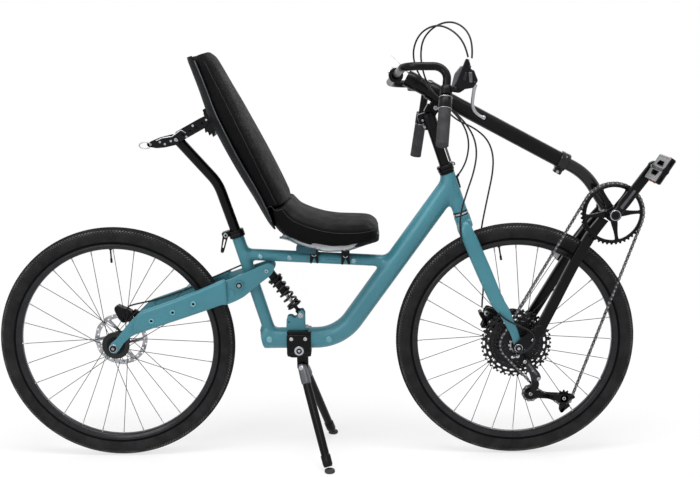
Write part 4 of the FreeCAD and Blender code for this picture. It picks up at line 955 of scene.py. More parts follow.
rear_hub = Piece("rear_wheel_hub").add(hollow(REAR_HUB, REAR_AXLE), BLACK_ALLOY)
rear_hub.add(shifted(HUB_DISC, REAR_AXLE), BLACK_GLOSS)
rear_hub.made("rear_wheel", "black_alloy", "rear_hub")
front_hub = Piece("front_wheel_hub").add(hollow(FRONT_HUB, FRONT_AXLE), BLACK_ALLOY)
front_hub.made("front_wheel", "black_alloy", "front_hub")

# ---------------- cassette

COGS = (22, 26, 29, 33, 38, 44, 51, 58, 67, 79, 91, 103)       # radius over each cog's teeth
COG_STEP, COG_HALF, TOOTH_DEPTH = 2.5, 0.85, 5.2
COG_OUTSIDE = -CHAIN_SIDE - 15
LINK_PITCH = 12.7
SMALL_BORE, LARGE_BORE, SMALL_COGS, BRIGHT_COGS = 17.4, 24.0, 6, 2
LIGHT_ROWS, LIGHT_HOLES = (94.0, 82.5, 71.0, 59.5), 24     # see-through holes of the larger cogs
LIGHT_RADIUS, LIGHT_HALF = 3.1, 0.045
COG_CARRIER = ((17.2, 0.3), (26, 16), (40, 21), (46, 27), (46, 29), (17.2, 29.5))
LOCK_RING = ((10, -1.5), (15.5, -1.5), (17.5, 0), (17.5, 2), (10, 2))


def light_holes(tip):
    """The see-through holes of a cog, staggered from row to row."""
    for row, radius in enumerate(LIGHT_ROWS):
        for hole in range(LIGHT_HOLES if tip >= radius + 7.0 else 0):
            turn = FULL_TURN * (hole + 0.5 * row) / LIGHT_HOLES
            yield hull(polar(radius, turn - LIGHT_HALF), LIGHT_RADIUS,
                       polar(radius, turn + LIGHT_HALF), LIGHT_RADIUS, 6)


cassette = Piece("cassette_cogs")
for number, tip in enumerate(COGS):
    teeth = round(FULL_TURN * (tip - 2.5) / LINK_PITCH)
    y = COG_OUTSIDE + COG_STEP * (number + 0.5)
    bore = circle(SMALL_BORE if number < SMALL_COGS else LARGE_BORE, count=36)
    cog = prism(gear(teeth, tip, TOOTH_DEPTH), y - COG_HALF, y + COG_HALF,
                [bore, *light_holes(tip)], bevel=0.2)
    cassette.add(shifted(cog, FRONT_AXLE), STEEL if number < BRIGHT_COGS else COG_STEEL)
cog_place = FRONT_AXLE + ACROSS * COG_OUTSIDE
cassette.add(hollow(COG_CARRIER, cog_place, count=48), COG_STEEL)
cassette.add(hollow(LOCK_RING, cog_place, count=36), BLACK_ALLOY)
cassette.made("front_wheel", "cog_steel", "cassette", sharp=30)

# ---------------- frame

MAIN_RADIUS, TOP_RADIUS, UPRIGHT_RADIUS, HEAD_RADIUS = 31.0, 17.0, 18.0, 21.0
PIVOT_RADIUS, PIVOT_HALF = 17.0, 30.0
WELD_VOXEL = 2.8
HEAD_FILLET, TUBE_FILLET, SHELL_FILLET = 15, 13, 9
NARROW_RUN, NARROW_SHARE = 110.0, 0.34            # how the main tube narrows at its upper end
PIVOT = np.array((375.5, 0, 536.4))
HEAD_LOW, HEAD_HIGH = 7.5, 124.5
main_line = bent(((405, 0, 362), (662.7, 0, 362), on_axis(90)), (135,), 7.0)
top_line = straight((395, 0, 616.8), (835, 0, 591), 3.0)
upright_line = straight((461, 0, 362), (368.3, 0, 673), 3.0)
END_PLANE = np.array((431.4, 0, 366.0))           # sloping rear face of the main tube
END_WAY = np.array((-0.9774, 0, -0.2113))         # out of that face
END_EASE = 2.5


def soft_min(first, second, reach):
    """The smaller of two distances, eased where they are close: this is the weld's fillet."""
    near = np.clip(reach - np.abs(first - second), 0, None) / reach
    return np.minimum(first, second) - near ** 2 * reach / 4


def soft_max(first, second, reach):
    return -soft_min(-first, -second, reach)


def capped(points, start, end, radius, edge=1.2):
    """Distance to a straight tube with flat, slightly eased ends."""
    start, end = np.asarray(start, float), np.asarray(end, float)
    way = unit(end - start)
    along = (points - start) @ way
    off = np.linalg.norm(points - start - along[:, None] * way, axis=1) - radius
    return soft_max(off, np.maximum(-along, along - np.linalg.norm(end - start)), edge)


def main_tube_gap(points):
    """The main tube narrows across to the head tube's width at its upper end."""
    ahead = np.clip((on_axis(90)[0] - points[:, 0]) / NARROW_RUN, 0, 1)
    wide = 1 + NARROW_SHARE * (1 - ahead) ** 2
    squeezed = points * np.stack((np.ones(len(points)), wide, np.ones(len(points))), -1)
    tube = soft_max(gap_to(squeezed, main_line, MAIN_RADIUS), (points - END_PLANE) @ END_WAY,
                    END_EASE)
    return np.maximum(tube, (points - HEAD_FOOT) @ FORWARD)


def frame_gap(points):
    """Distance to the welded frame: each tube eased into its neighbours."""
    head = capped(points, on_axis(HEAD_LOW), on_axis(HEAD_HIGH), HEAD_RADIUS)
    gap = soft_min(main_tube_gap(points), head, HEAD_FILLET)
    gap = soft_min(gap, capped(points, top_line[0], top_line[-1], TOP_RADIUS), TUBE_FILLET)
    upright = capped(points, upright_line[0], upright_line[-1], UPRIGHT_RADIUS)
    shell = capped(points, PIVOT - ACROSS * PIVOT_HALF, PIVOT + ACROSS * PIVOT_HALF, PIVOT_RADIUS)
    return soft_min(gap, soft_min(upright, shell, SHELL_FILLET), TUBE_FILLET)


def drawn_to(points, gap, passes=4, step=0.05):
    """Points moved onto the surface where gap is nought."""
    for _ in range(passes):
        away = gap(points)
        slope = np.stack([(gap(points + step * way) - gap(points - step * way)) / (2 * step)
                          for way in np.eye(3)], -1)
        size = np.maximum(np.sum(slope ** 2, 1), 0.2)
        points = points - (np.clip(away, -3, 3) / size)[:, None] * slope
    return points


def remeshed(surfaces, voxel):
    """Overlapping closed surfaces as one even skin, (verts, faces) in millimetres."""
    rough = Piece("weldment_rough")
    for surface in surfaces:
        rough.add(surface, HOLE_SHADE)
    mesh = closed_mesh(rough.name, np.concatenate(rough.verts) * MM, rough.faces)
    holder = held(rough.name, mesh)
    even = holder.modifiers.new("even", "REMESH")
    even.mode = "VOXEL"
    even.voxel_size = voxel * MM
    result = holder.evaluated_get(bpy.context.evaluated_depsgraph_get()).data
    places = np.empty(len(result.vertices) * 3)
    result.vertices.foreach_get("co", places)
    faces = [list(face.vertices) for face in result.polygons]
    bpy.data.objects.remove(holder)
    return places.reshape(-1, 3) / MM, faces


def main_rough():
    """The main tube from its sloping end to the head tube, before its ends are drawn true."""
    inside = main_line[(main_line - END_PLANE) @ END_WAY < 0]
    return sweep(np.concatenate(([END_PLANE], inside[1:])), MAIN_RADIUS, 48)


def rivnut(place, way, radius):
    """A threaded boss: a low painted ring with a dark socket screw in it."""
    return (lathe(((radius + 1.6, -5), (radius + 1.4, 0.2), (radius, 2.0), (radius - 1.4, 2.8),
                   (radius - 2.8, 2.8), (radius - 3.4, 1.6)), place, way, 32),
            bolt(place + 1.2 * unit(way), way, radius - 3.2, 1.2))


def on_skin(place, way):
    """Where the frame's skin lies along a way from a place inside it."""
    reach = np.linspace(0, 60, 601)
    spots = np.asarray(place, float) + reach[:, None] * unit(way)
    return spots[np.argmax(frame_gap(spots) > 0)]


def slot_in_skin(piece, start, end, way, half):
    """A slot with round ends, lying on the frame's skin, with a raised rim; its inside is a
    near-black sweep of painted shade.
    """
    line = np.array([on_skin(spot, way) for spot in straight(start, end, 2.0)])
    piece.add(sweep(line - 0.95 * half * unit(way), half + 0.9, 16), TEAL)
    piece.add(sweep(line - 0.75 * half * unit(way), half, 16), HOLE_SHADE)


NEAR_WAY = unit((0, -1, -0.05))                    # out of the right side, a little down
SKIN_BOSSES = (
    # x, z, radius, the screw's finish
    (435.6, 614.0, 7.0, SILVER), (520.8, 609.4, 7.0, SILVER), (707.1, 598.6, 7.0, SILVER),
    (631.7, 366.0, 8.2, TEAL_HIGHLIGHT), (456.0, 367.0, 8.2, TEAL_HIGHLIGHT))
CABLE_SLOTS = (((566, 0, 605.8), (580, 0, 605.0)), ((626, 0, 602.0), (660, 0, 600.0)))

rough_verts, rough_faces = remeshed(
    (main_rough(), sweep(top_line, TOP_RADIUS, 32), sweep(upright_line, UPRIGHT_RADIUS, 32),
     sweep(straight(on_axis(HEAD_LOW), on_axis(HEAD_HIGH)), HEAD_RADIUS, 32),
     sweep(straight(PIVOT - ACROSS * PIVOT_HALF, PIVOT + ACROSS * PIVOT_HALF), PIVOT_RADIUS, 32)),
    WELD_VOXEL)
weldment = Piece("frame_weldment_painted")
weldment.add((drawn_to(rough_verts, frame_gap), rough_faces), TEAL)
# the boss rings are in the lighter teal, a painted highlight, as are two of the screws
for x, z, radius, finish in SKIN_BOSSES:
    boss, screw = rivnut(on_skin((x, 0, z), NEAR_WAY), NEAR_WAY, radius)
    weldment.add(boss, TEAL_HIGHLIGHT).add(screw, finish)
for start, end in CABLE_SLOTS:
    slot_in_skin(weldment, start, end, NEAR_WAY, 2.6)
for side in SIDES:
    slot_in_skin(weldment, on_axis(92, 4), on_axis(62, 8), (0.2, side, 0), 2.4)
weldment.made("frame", "frame_paint", "main_tube", "top_tube", "upright_tube", "head_tube")

CUP_RADIUS, CUP_EDGE, CUP_BORE = 21.9, 20.9, 17
SEAL = ((21, -8.5), (22.7, -8), (22.7, -3.5), (21, -3))       # at the head tube's foot
cups = Piece("headset_cups_turned")
for low, high in ((HEAD_LOW - 11, HEAD_LOW), (HEAD_HIGH, HEAD_HIGH + 6)):
    cups.add(hollow(((CUP_BORE, low), (CUP_EDGE, low), (CUP_RADIUS, low + 1.2),
                     (CUP_RADIUS, high - 1.2), (CUP_EDGE, high), (CUP_BORE, high)),
                    HEAD_FOOT, AXIS, 56), BLACK_ALLOY)
cups.add(hollow(SEAL, on_axis(HEAD_LOW), AXIS, 56), SILVER)
# the port on the head tube's front that the rear brake hose enters
cups.add(sweep(straight((1005, 0, 838), (1014.5, 0, 806)), 5.2, 24), BLACK_ALLOY)
cups.add(sweep(straight((1003, 0, 832), (1012.5, 0, 845.5)), 3.6, 20), BLACK_ALLOY)
cups.made("frame", "black_alloy", "headset_cups")

# ---------------- swingarm

# each outline is in the side view: x, z
ARM_BOX = ((87, 464), (176, 494.4), (264, 528.3), (333, 556.6), (341, 548), (342, 494),
           (337.8, 485.4), (261, 459.2), (143, 420.7), (84, 400), (60, 392), (66, 428))
DROPOUT = ((110, 470), (84.5, 460.6), (44.3, 421.8), (9.5, 378), (-6, 367), (-15, 351),
           (-8, 337), (6, 334), (16, 344), (32.6, 368), (55, 387), (90, 402))
PIVOT_PLATE = ((312, 484), (312, 541), (461, 596), (471, 592), (477, 580), (471, 566),
               (463.6, 558.2), (396, 507), (388, 501), (364, 489.3), (336, 479.3))
# how far out each lies: x, y
BOX_LEAN = (60, 104, 210, 318), (-3, 0, 1, -4)
PLATE_LEAN = (311, 345, 380, 412, 440, 470), (63, 56, 50, 38, 29, 28)
END_BEAD = ((92, 61.5, 462), (74, 60.5, 440), (62, 60, 412), (60, 60, 393))
PIVOT_BOSS = ((12, -6), (12, 1.0), (11.2, 1.8), (8.9, 1.8), (8.6, 1.0), (8.6, -6))
ARM_BOSS = ((8.2, -4), (8.2, 0.3), (7.2, 1.8), (4.6, 1.8), (3.8, 0.8), (3.8, -4))
BOSS_FLOORS = ((3.9, -4), (3.9, -3.6)), ((3.9, 0.2), (3.9, 0.3))
BOSSES = ((120.1, 437.6), (183.0, 462.7), (243.9, 487.4))
ARM_FACE = 77.8


def leaned(surface, xs, ys):
    """A surface moved sideways by an amount that varies along the bicycle."""
    verts, faces = surface
    verts = np.array(verts, float)
    verts[:, 1] += np.interp(verts[:, 0], xs, ys)
    return verts, faces


def finer(outline, step=12.0):
    """The same outline with points no further apart than step."""
    points = np.asarray(outline, float)
    made = []
    for start, end in zip(points, np.roll(points, -1, 0)):
        count = max(1, int(np.linalg.norm(end - start) / step))
        made += [start + (end - start) * n / count for n in range(count)]
    return np.array(made)


def arm_surfaces():
    """The left arm: box, dropout, pivot plate, cross tube, pivot boss and a bead of weld."""
    return (
        leaned(prism(finer(rounded(ARM_BOX, 12)), 56.5, 77.5, bevel=8.5, steps=7), *BOX_LEAN),
        prism(rounded(DROPOUT, 8), 52.8, 61.2, bevel=1.6, steps=3),
        leaned(prism(finer(rounded(PIVOT_PLATE, 7)), -5.5, 5.5, bevel=1.6, steps=3), *PLATE_LEAN),
        sweep(straight((348, 0, 512), (348, 60, 512)), 14, 36),
        lathe(PIVOT_BOSS, PIVOT + ACROSS * 58, count=40, caps=False),
        sweep(bent(END_BEAD, (8,) * 4), 2.2, 12))


for side in SIDES:
    arm = Piece("swingarm_%s_painted" % WORDS[side])
    for surface in arm_surfaces():
        arm.add(surface if side == LEFT else mirrored(surface), TEAL)
    for x, z in BOSSES:
        place = beside((x, ARM_FACE, z), side)
        # the boss in the lighter teal: a painted highlight
        arm.add(lathe(ARM_BOSS, place, ACROSS * side, 28, caps=False), TEAL_HIGHLIGHT)
        # near-black floors in the bosses: painted shade
        for floor in BOSS_FLOORS:
            arm.add(lathe(floor, place, ACROSS * side, 20), HOLE_SHADE)
    arm.made("frame", "frame_paint", "swingarm_" + WORDS[side])

axle = Piece("rear_axle_and_nuts")
axle.add(lathe(((6, -66), (6, 66)), REAR_AXLE, count=28), STEEL)
axle.washers(REAR_AXLE + ACROSS * 61.5, 12, 6, 1.6)
axle.bolts(REAR_AXLE + ACROSS * 61.8, 9.6, 5.4, 0.5, BLACK_ALLOY)
axle.made("frame", "bright_steel", "rear_axle")

pivot = Piece("pivot_bolt_detailed")
pivot.add(lathe(((5, -62), (5, 62)), PIVOT, count=24), STEEL)
pivot.bolts(PIVOT + ACROSS * 57.6, 8.2, 3.2, 0.6, BLACK_PAINT)
pivot.made("frame", "bright_steel", "pivot_bolt")

# ---------------- shock

SHOCK_TOP, SHOCK_FOOT = np.array((453.8, 0, 573.0)), np.array((548.7, 0, 433.8))
TOP_HALF, FOOT_HALF = 36.5, 20
SHOCK_WAY = unit(SHOCK_FOOT - SHOCK_TOP)
SPRING_START, SPRING_END, SPRING_RADIUS = 40.0, 132.0, 17.2
COILS, WIRE, FLAT_SHARE = 5.4, 3.7, 0.07
DAMPER = ((10, 8), (13, 10), (13, 92), (11, 94), (5.5, 94.5), (5.5, 150), (9, 152), (9, 160))
ROD = ((5.6, 96), (5.6, 130))
EYE = ((9, -10.5), (9.6, -9.5), (9.6, 9.5), (9, 10.5))

damper = Piece("shock_damper_detailed")
damper.add(lathe(DAMPER, SHOCK_TOP, SHOCK_WAY, 40), BLACK_ALLOY)
damper.add(lathe(ROD, SHOCK_TOP, SHOCK_WAY, 32), SILVER)
for low, high in ((SPRING_START - 7, SPRING_START), (SPRING_END, SPRING_END + 6)):
    damper.add(lathe(((8, low), (21, low), (22.6, low + 1.5), (22.6, high - 1), (20, high),
                      (8, high)), SHOCK_TOP, SHOCK_WAY, 44), BLACK_ALLOY)
for place, half in ((SHOCK_TOP, TOP_HALF), (SHOCK_FOOT, FOOT_HALF)):
    damper.add(lathe(EYE, place, count=32), BLACK_ALLOY)
    damper.add(lathe(((4, -half), (4, half)), place, count=20), STEEL)
    damper.washers(place + ACROSS * (half - 2.5), 8.2, 4, 1.2)
    damper.bolts(place + ACROSS * (half - 1.5), 6.0, 3.6)
damper.made("frame", "black_alloy", "shock_damper")


def coil_line():
    """The spring's middle line, with flat coils at both ends."""
    turn = np.linspace(0, FULL_TURN * COILS, 300)
    rise = np.clip((turn / turn[-1] - FLAT_SHARE) / (1 - 2 * FLAT_SHARE), 0, 1)
    along = SPRING_START + WIRE + (SPRING_END - SPRING_START - 2 * WIRE) * rise
    side, up = side_of(SHOCK_WAY)
    return (SHOCK_TOP + SHOCK_WAY * along[:, None]
            + SPRING_RADIUS * (np.cos(turn)[:, None] * side + np.sin(turn)[:, None] * up))


spring = Piece("shock_coil_spring").add(sweep(coil_line(), WIRE, 14), BLACK_GLOSS)
spring.made("frame", "spring_black", "shock_spring")

MOUNT_PLATE = ((505, 382), (507, 425), (513, 431), (524, 430), (528, 425), (534, 426),
               (540, 436), (543, 447), (555, 449), (561, 438), (560.5, 410), (560.5, 382))
mount = Piece("shock_mount_plates")
mount.plates(rounded(MOUNT_PLATE, 4), 12.6, 17.6, TEAL, [circle(2.8, (514, 414), 14)], 0.9)
mount.add(box((62, 34, 8), (539, 0, 393), corner=3), TEAL)
mount.made("frame", "frame_paint", "shock_mount")

# ---------------- stand

BRACKET_PLATE = ((507, 379), (578, 379), (579, 318), (566, 310.5), (520, 310.5), (507, 318))
BRACKET_BAND = ((509, 325), (577, 325), (576, 319), (565, 312), (521, 312), (510, 319))
BRACKET_BOLTS = ((521, 36.2, 367.5), (562, 36.2, 367.5))
BRACKET_RING = ((14, -1), (14, 1.4), (12.8, 2.4), (8.4, 2.4), (8.0, 1.2))
RING_PLACE = (543, 36, 331)
BRACKET_BLOCKS = (
    # size, middle, corner
    ((70, 63, 18), (543, 0, 321), 4), ((70, 63, 10), (543, 0, 384), 3),
    ((8, 63, 60), (511, 0, 348), 3), ((8, 63, 60), (574, 0, 348), 3),
    ((33, 23, 50), (551, 0, 292), 6))
STAND_FOLDED = {"left": (-0.97, 0.22, -0.03), "right": (-0.93, 0.31, -0.31)}
LEG_TOP, LEG_FOOT = (551.0, 20.0, 274.0), (632.0, 150.0, 0.0)
KNUCKLE_ROWS = (
    # distance down, height, width
    (-11, 12, 12), (-8, 21, 17), (0, 25, 19), (14, 26, 20.5), (34, 27, 22), (46, 26, 21.5),
    (50, 22, 18))
LEG_HUB = ((11, -8.4), (11.6, -7.6), (11.6, 4), (11, 5))
FOOT_ROWS = ((52, 22), (50, 25), (24, 25), (16, 21))          # distance up, size
FOOT_PAD = ((12, 9.5), (14.2, 8.2), (15, 6), (15, 1.6), (13.8, 0.2), (5, 0.1))


def leg_rows(reach):
    """The leg tube's sections: distance down, height, width, squareness."""
    return ((34, 23, 19.5, 3.0), (60, 25, 20, 2.6), (120, 26, 20, 2.4),
            (reach - 80, 25, 20, 2.4), (reach - 24, 24, 20, 2.4))


def stand_leg(side):
    word = WORDS[side]
    top, foot = beside(LEG_TOP, side), beside(LEG_FOOT, side)
    down = unit(foot - top)
    hinge = unit(np.cross(down, STAND_FOLDED[word]))
    inward = hinge * (-1 if hinge[1] * side > 0 else 1)
    wide_way = np.cross(hinge, down)
    reach = np.linalg.norm(foot - top)
    leg = Piece("stand_leg_%s_detailed" % word)
    leg.add(skin([oval(top + down * along, wide_way, hinge, tall, wide, power, 36)
                  for along, tall, wide, power in smooth_rows(leg_rows(reach), 24)]),
            BLACK_PAINT)
    leg.add(skin([oval(top + down * along, wide_way, hinge, tall, wide, 4.5, 40)
                  for along, tall, wide in smooth_rows(KNUCKLE_ROWS, 26)]), GREY_ALLOY)
    leg.add(lathe(LEG_HUB, top, inward, 36), GREY_ALLOY)
    leg.add(lathe(((5, -10.5), (5, 15)), top, inward, 20), STEEL)
    leg.add(bolt(top - inward * 8, -inward, 7.4, 3.2), SILVER)
    leg.add(skin([oval(foot - down * along, wide_way, hinge, size * 1.15, size * 0.95, 2.4, 36)
                  for along, size in FOOT_ROWS]), BLACK_ALLOY)
    leg.add(lathe(FOOT_PAD, foot, (0, 0, 1), 40), GRIP)
    leg.made("stand_" + word, "black_paint", "stand_leg_" + word)


bracket = Piece("stand_bracket_detailed")
bracket.plates(rounded(BRACKET_PLATE, (9, 9, 5, 5, 5, 5)), 31.5, 36.0, BLACK_PAINT, bevel=1.0)
for place in BRACKET_BOLTS:
    bracket.washers(place - ACROSS * 0.4, 7.0, 4, 0.9, BLACK_ALLOY)
    bracket.bolts(place, 5.6, 2.6, 0.4)
for side in SIDES:
    bracket.add(lathe(BRACKET_RING, beside(RING_PLACE, side), ACROSS * side, 40), SILVER)
bracket.bolts(RING_PLACE + ACROSS * 0.2, 8.0, 3.4, 0.55, BLACK_PAINT)
bracket.plates(rounded(BRACKET_BAND, 3), 35.0, 37.4, BLACK_ALLOY, bevel=0.8)
for size, place, corner in BRACKET_BLOCKS:
    bracket.add(box(size, place, corner=corner), BLACK_PAINT)
for side in SIDES:
    stand_leg(side)
bracket.made("frame", "black_paint", "stand_bracket")

# ---------------- fork

FORK_STATIONS = (
    # x, z, y, height, width
    (1023, 712, 35, 20, 20), (1025, 706, 37, 31, 27), (1028, 696, 40, 38, 30),
    (1033, 680, 44, 41, 30), (1043, 660, 47.5, 42, 28), (1061, 618, 52.5, 43, 24),
    (1080, 574, 58, 43, 22), (1105, 515, 64, 41, 20), (1119, 485, 67, 39, 18),
    (1141, 452, 71, 33, 15), (1154, 424, 73.5, 27, 12), (1168, 394, 74, 24, 11),
    (1178, 362, 74, 22, 11), (1181, 336, 74, 18, 11))
FORK_LEAN = -65.4
STEERER_TUBE = ((20, -46), (22.4, -43), (23, -38), (23, -8), (21.8, -4.8), (14.4, -4.5),
                (14.3, RISER_FOOT - 1))

fork = Piece("fork_painted")
for side in SIDES:
    fork.add(limb(FORK_STATIONS, FORK_LEAN, 2.6, 40, 90, side), TEAL)
fork.add(lathe(STEERER_TUBE, HEAD_FOOT, AXIS, 56), TEAL)
fork.add(skin([oval(on_axis(-30, 0, y), FORWARD, AXIS, 40 - abs(y) * 0.10, 26 + abs(y) * 0.12,
                    3.2, 40) for y in np.linspace(-44, 44, 23)]), TEAL)
fork.made("front_end", "frame_paint", "fork")

front_axle = Piece("front_axle_and_nuts")
front_axle.add(lathe(((6, -96), (6, 96)), FRONT_AXLE, count=28), STEEL)
front_axle.washers(FRONT_AXLE + ACROSS * 89.6, 12, 6, 1.6)
front_axle.bolts(FRONT_AXLE + ACROSS * 91, 9.8, 6.6, 0.5, BLACK_ALLOY)
front_axle.made("front_end", "bright_steel", "front_axle")

# ---------------- riser and stem

# profiles along the steering axis: radius, distance up
STEERER = 14.3
RISER = ((13.4, RISER_FOOT), (STEERER, RISER_FOOT + 0.8), (STEERER, 303), (13.2, 304))
RISER_RING = ((STEERER, 131.2), (22.4, 131.2), (23.4, 132.4), (23.4, 138.6), (22.2, 139.6),
              (22.2, 140.4), (24.4, 141.4), (24.4, 148.4), (23.0, 150), (STEERER, 150))
ROD_AHEAD, ROD_RADIUS = 19.2, 3.4
ROD_FOOT = ((3.6, 151), (6.0, 151.6), (6.0, 154.6), (3.6, 156))
ROD_SLEEVE = ((3.6, 206), (4.3, 206.8), (4.3, 222), (3.6, 223))
STEM_SLEEVE = ((15, 262), (20, 262), (21, 264), (21, 299), (20, 302), (15, 302))
STEM_CAP = ((14.4, 301), (19, 301), (19, 304), (16, 306), (4, 306.5))
STEM_PIVOT = np.array((944.1, 0, 1036.9))
STEM_TILT = -18.6                                  # degrees, as the steering axis leans

riser = Piece("riser_tube_detailed").add(lathe(RISER, HEAD_FOOT, AXIS, 48), BLACK_PAINT)
riser.add(hollow(RISER_RING, HEAD_FOOT, AXIS, 52), BLACK_ALLOY)
riser.add(box((22, 17, 9), on_axis(145, 19), STEM_TILT, corner=3), BLACK_ALLOY)
riser.bolts(on_axis(145, 24, 8.2), 3.8, 2.2)
riser.add(sweep(straight(on_axis(150, ROD_AHEAD), on_axis(261, ROD_AHEAD)), ROD_RADIUS, 20),
          GREY_ALLOY)
riser.add(lathe(ROD_FOOT, on_axis(0, ROD_AHEAD), AXIS, 24), SILVER)
riser.add(lathe(ROD_SLEEVE, on_axis(0, ROD_AHEAD), AXIS, 24), BLACK_ALLOY)
riser.made("front_end", "black_paint", "riser_tube")

stem = Piece("stem_detailed").add(hollow(STEM_SLEEVE, HEAD_FOOT, AXIS, 44), BLACK_PAINT)
stem.add(lathe(STEM_CAP, HEAD_FOOT, AXIS, 40), BLACK_ALLOY)
stem.add(box((36, 23, 28), (933, 0, 1029), BOOM_DEGREES, corner=6), BLACK_PAINT)
stem.add(box((38, 23, 27), (914, 0, 1009), STEM_TILT, corner=6), BLACK_PAINT)
for distance in (272, 292):
    stem.bolts(on_axis(distance, -19, 11.0), 3.6, 2.6)
stem.bolts(STEM_PIVOT + ACROSS * 21, 6.6, 4.6)
stem.add(lathe(((4, -24), (4, 24)), STEM_PIVOT, count=20), STEEL)
stem.made("front_end", "black_paint", "stem")

# ---------------- boom

# profiles along the boom: radius, distance down
CLAMP_BORE = BOOM_RADIUS + 0.1
CLAMP_BAND = ((CLAMP_BORE, 66), (26, 66), (26.8, 68), (26.8, 110), (26, 112), (CLAMP_BORE, 112))
CLAMP_EAR = ((-17, -22), (17, -22), (17, 17), (-17, 17))
BOOM_TUBE = ((BOOM_RADIUS - 1.2, 0), (BOOM_RADIUS, 1.2), (BOOM_RADIUS, BOOM_LENGTH))
BOOM_MOUTH = ((BOOM_RADIUS - 2.4, -0.4), (BOOM_RADIUS - 2.4, 0.6))
BOOM_COLLAR = ((BOOM_RADIUS, 491), (26.2, 491), (27.4, 492.4), (27.4, 500.6), (26.4, 502),
               (26.4, 503), (27.4, 504.4), (27.4, 515.4), (25.6, 518), (18, 518))
# the bottom bracket: radius, distance out
BRACKET_SHELL = ((12.5, -34), (20, -34), (21, -33), (21, 33), (20, 34), (12.5, 34))
BRACKET_CUP = ((12.6, 34), (19.4, 34), (20.4, 35.2), (20.4, 39), (18.6, 40.4), (12.6, 40.4))

clamp = Piece("boom_clamp_detailed").add(hollow(CLAMP_BAND, BOOM_FOOT, BOOM, 56), BLACK_PAINT)
for side in SIDES:
    ear = prism(rounded(CLAMP_EAR, (14, 14, 4, 4)), *span(side, 13.2, 18.2), bevel=0.8)
    clamp.add(shifted(turned(ear, "Y", BOOM_DEGREES), (948, 0, 1046)), BLACK_PAINT)
clamp.made("front_end", "black_paint", "boom_clamp")

boom = Piece("boom_tube").add(lathe(BOOM_TUBE, BOOM_FOOT, BOOM, 72), BLACK_PAINT)
# a near-black disc in the boom's open end: painted shade
boom.add(lathe(BOOM_MOUTH, BOOM_FOOT, BOOM, 48), HOLE_SHADE)
boom.made("front_end", "black_paint", "boom")

collar = Piece("boom_collar_detailed").add(hollow(BOOM_COLLAR, BOOM_FOOT, BOOM, 56), BLACK_GLOSS)
collar.add(box((24, 17, 15), (1295, 0, 852), BOOM_DEGREES, corner=4), BLACK_GLOSS)
collar.bolts((1293.2, 8.0, 850.4), 4.4, 3.4)
collar.made("front_end", "black_alloy", "boom_collar")

extension = Piece("boom_extension_detailed")
extension_line = bent((BOOM_FOOT + BOOM * (BOOM_LENGTH - 4), (1374, 0, 844), CRANK), (170,), 4)
extension.add(sweep(extension_line, 18, 48), BLACK_GLOSS)
extension.add(hollow(BRACKET_SHELL, CRANK, count=52), BLACK_GLOSS)
for side in SIDES:
    extension.add(hollow(BRACKET_CUP, CRANK, ACROSS * side, 44), BLACK_ALLOY)
extension.made("front_end", "black_paint", "boom_extension")

# ---------------- chainstays

STAY_STATIONS = (
    # x, z, y, height, width
    (1226, 380, 82.5, 26, 12), (1234, 392, 81, 30, 19), (1246, 413, 77.6, 30, 20),
    (1388, 668, 33, 30, 20), (1426, 716, 26, 28, 20))
STAY_LEAN = -118
AXLE_SPOT = FRONT_AXLE[[0, 2]]
STAY_END = hull(AXLE_SPOT, 15, (1240, 402), 15.5, 14)

stays = Piece("chainstays_detailed")
for side in SIDES:
    stays.add(limb(STAY_STATIONS, STAY_LEAN, 7.0, 48, 40, side), BLACK_PAINT)
stays.plates(STAY_END, 80.4, 88.4, BLACK_ALLOY, [circle(6.4, AXLE_SPOT, 20)], 1.0)
stays.bolts((1221, 88.2, 374), 5.0, 3.4)
stays.made("front_end", "black_paint", "chainstays")

# ---------------- cranks

# a crank is drawn along +X from the origin, then turned to its place
CRANK_ANGLES = {RIGHT: 53.6, LEFT: 233.6}          # degrees from forward
CRANK_LENGTH, CRANK_END, CRANK_BOSS = 170.0, 15.5, 17.5
ARM_MIDDLE, ARM_HALF = 80.0, 6.5                   # out from the middle
ARM_EDGE = ((40, 15), (90, 14), (150, 14.4))
ARM_SLOT = hull((29, 0), 3.4, (83, 0), 2.8, 10)
SLOT_FLOOR = hull((28, 0), 4.6, (84, 0), 4.0, 10)


def about_crank(surface, degrees=0.0):
    """From a drawing along +X about the origin to its place on the crank axis."""
    return shifted(turned(surface, "Y", -degrees), CRANK)


def crank_end(side):
    return CRANK + CRANK_LENGTH * wheel_way(math.radians(CRANK_ANGLES[side]))


def crank_outline():
    end = circle(CRANK_END, (CRANK_LENGTH, 0), 28)
    edge = np.array(ARM_EDGE)
    return np.concatenate((circle(CRANK_BOSS, count=40)[5:36], edge * (1, -1), end[-9:], end[:10],
                           edge[::-1]))


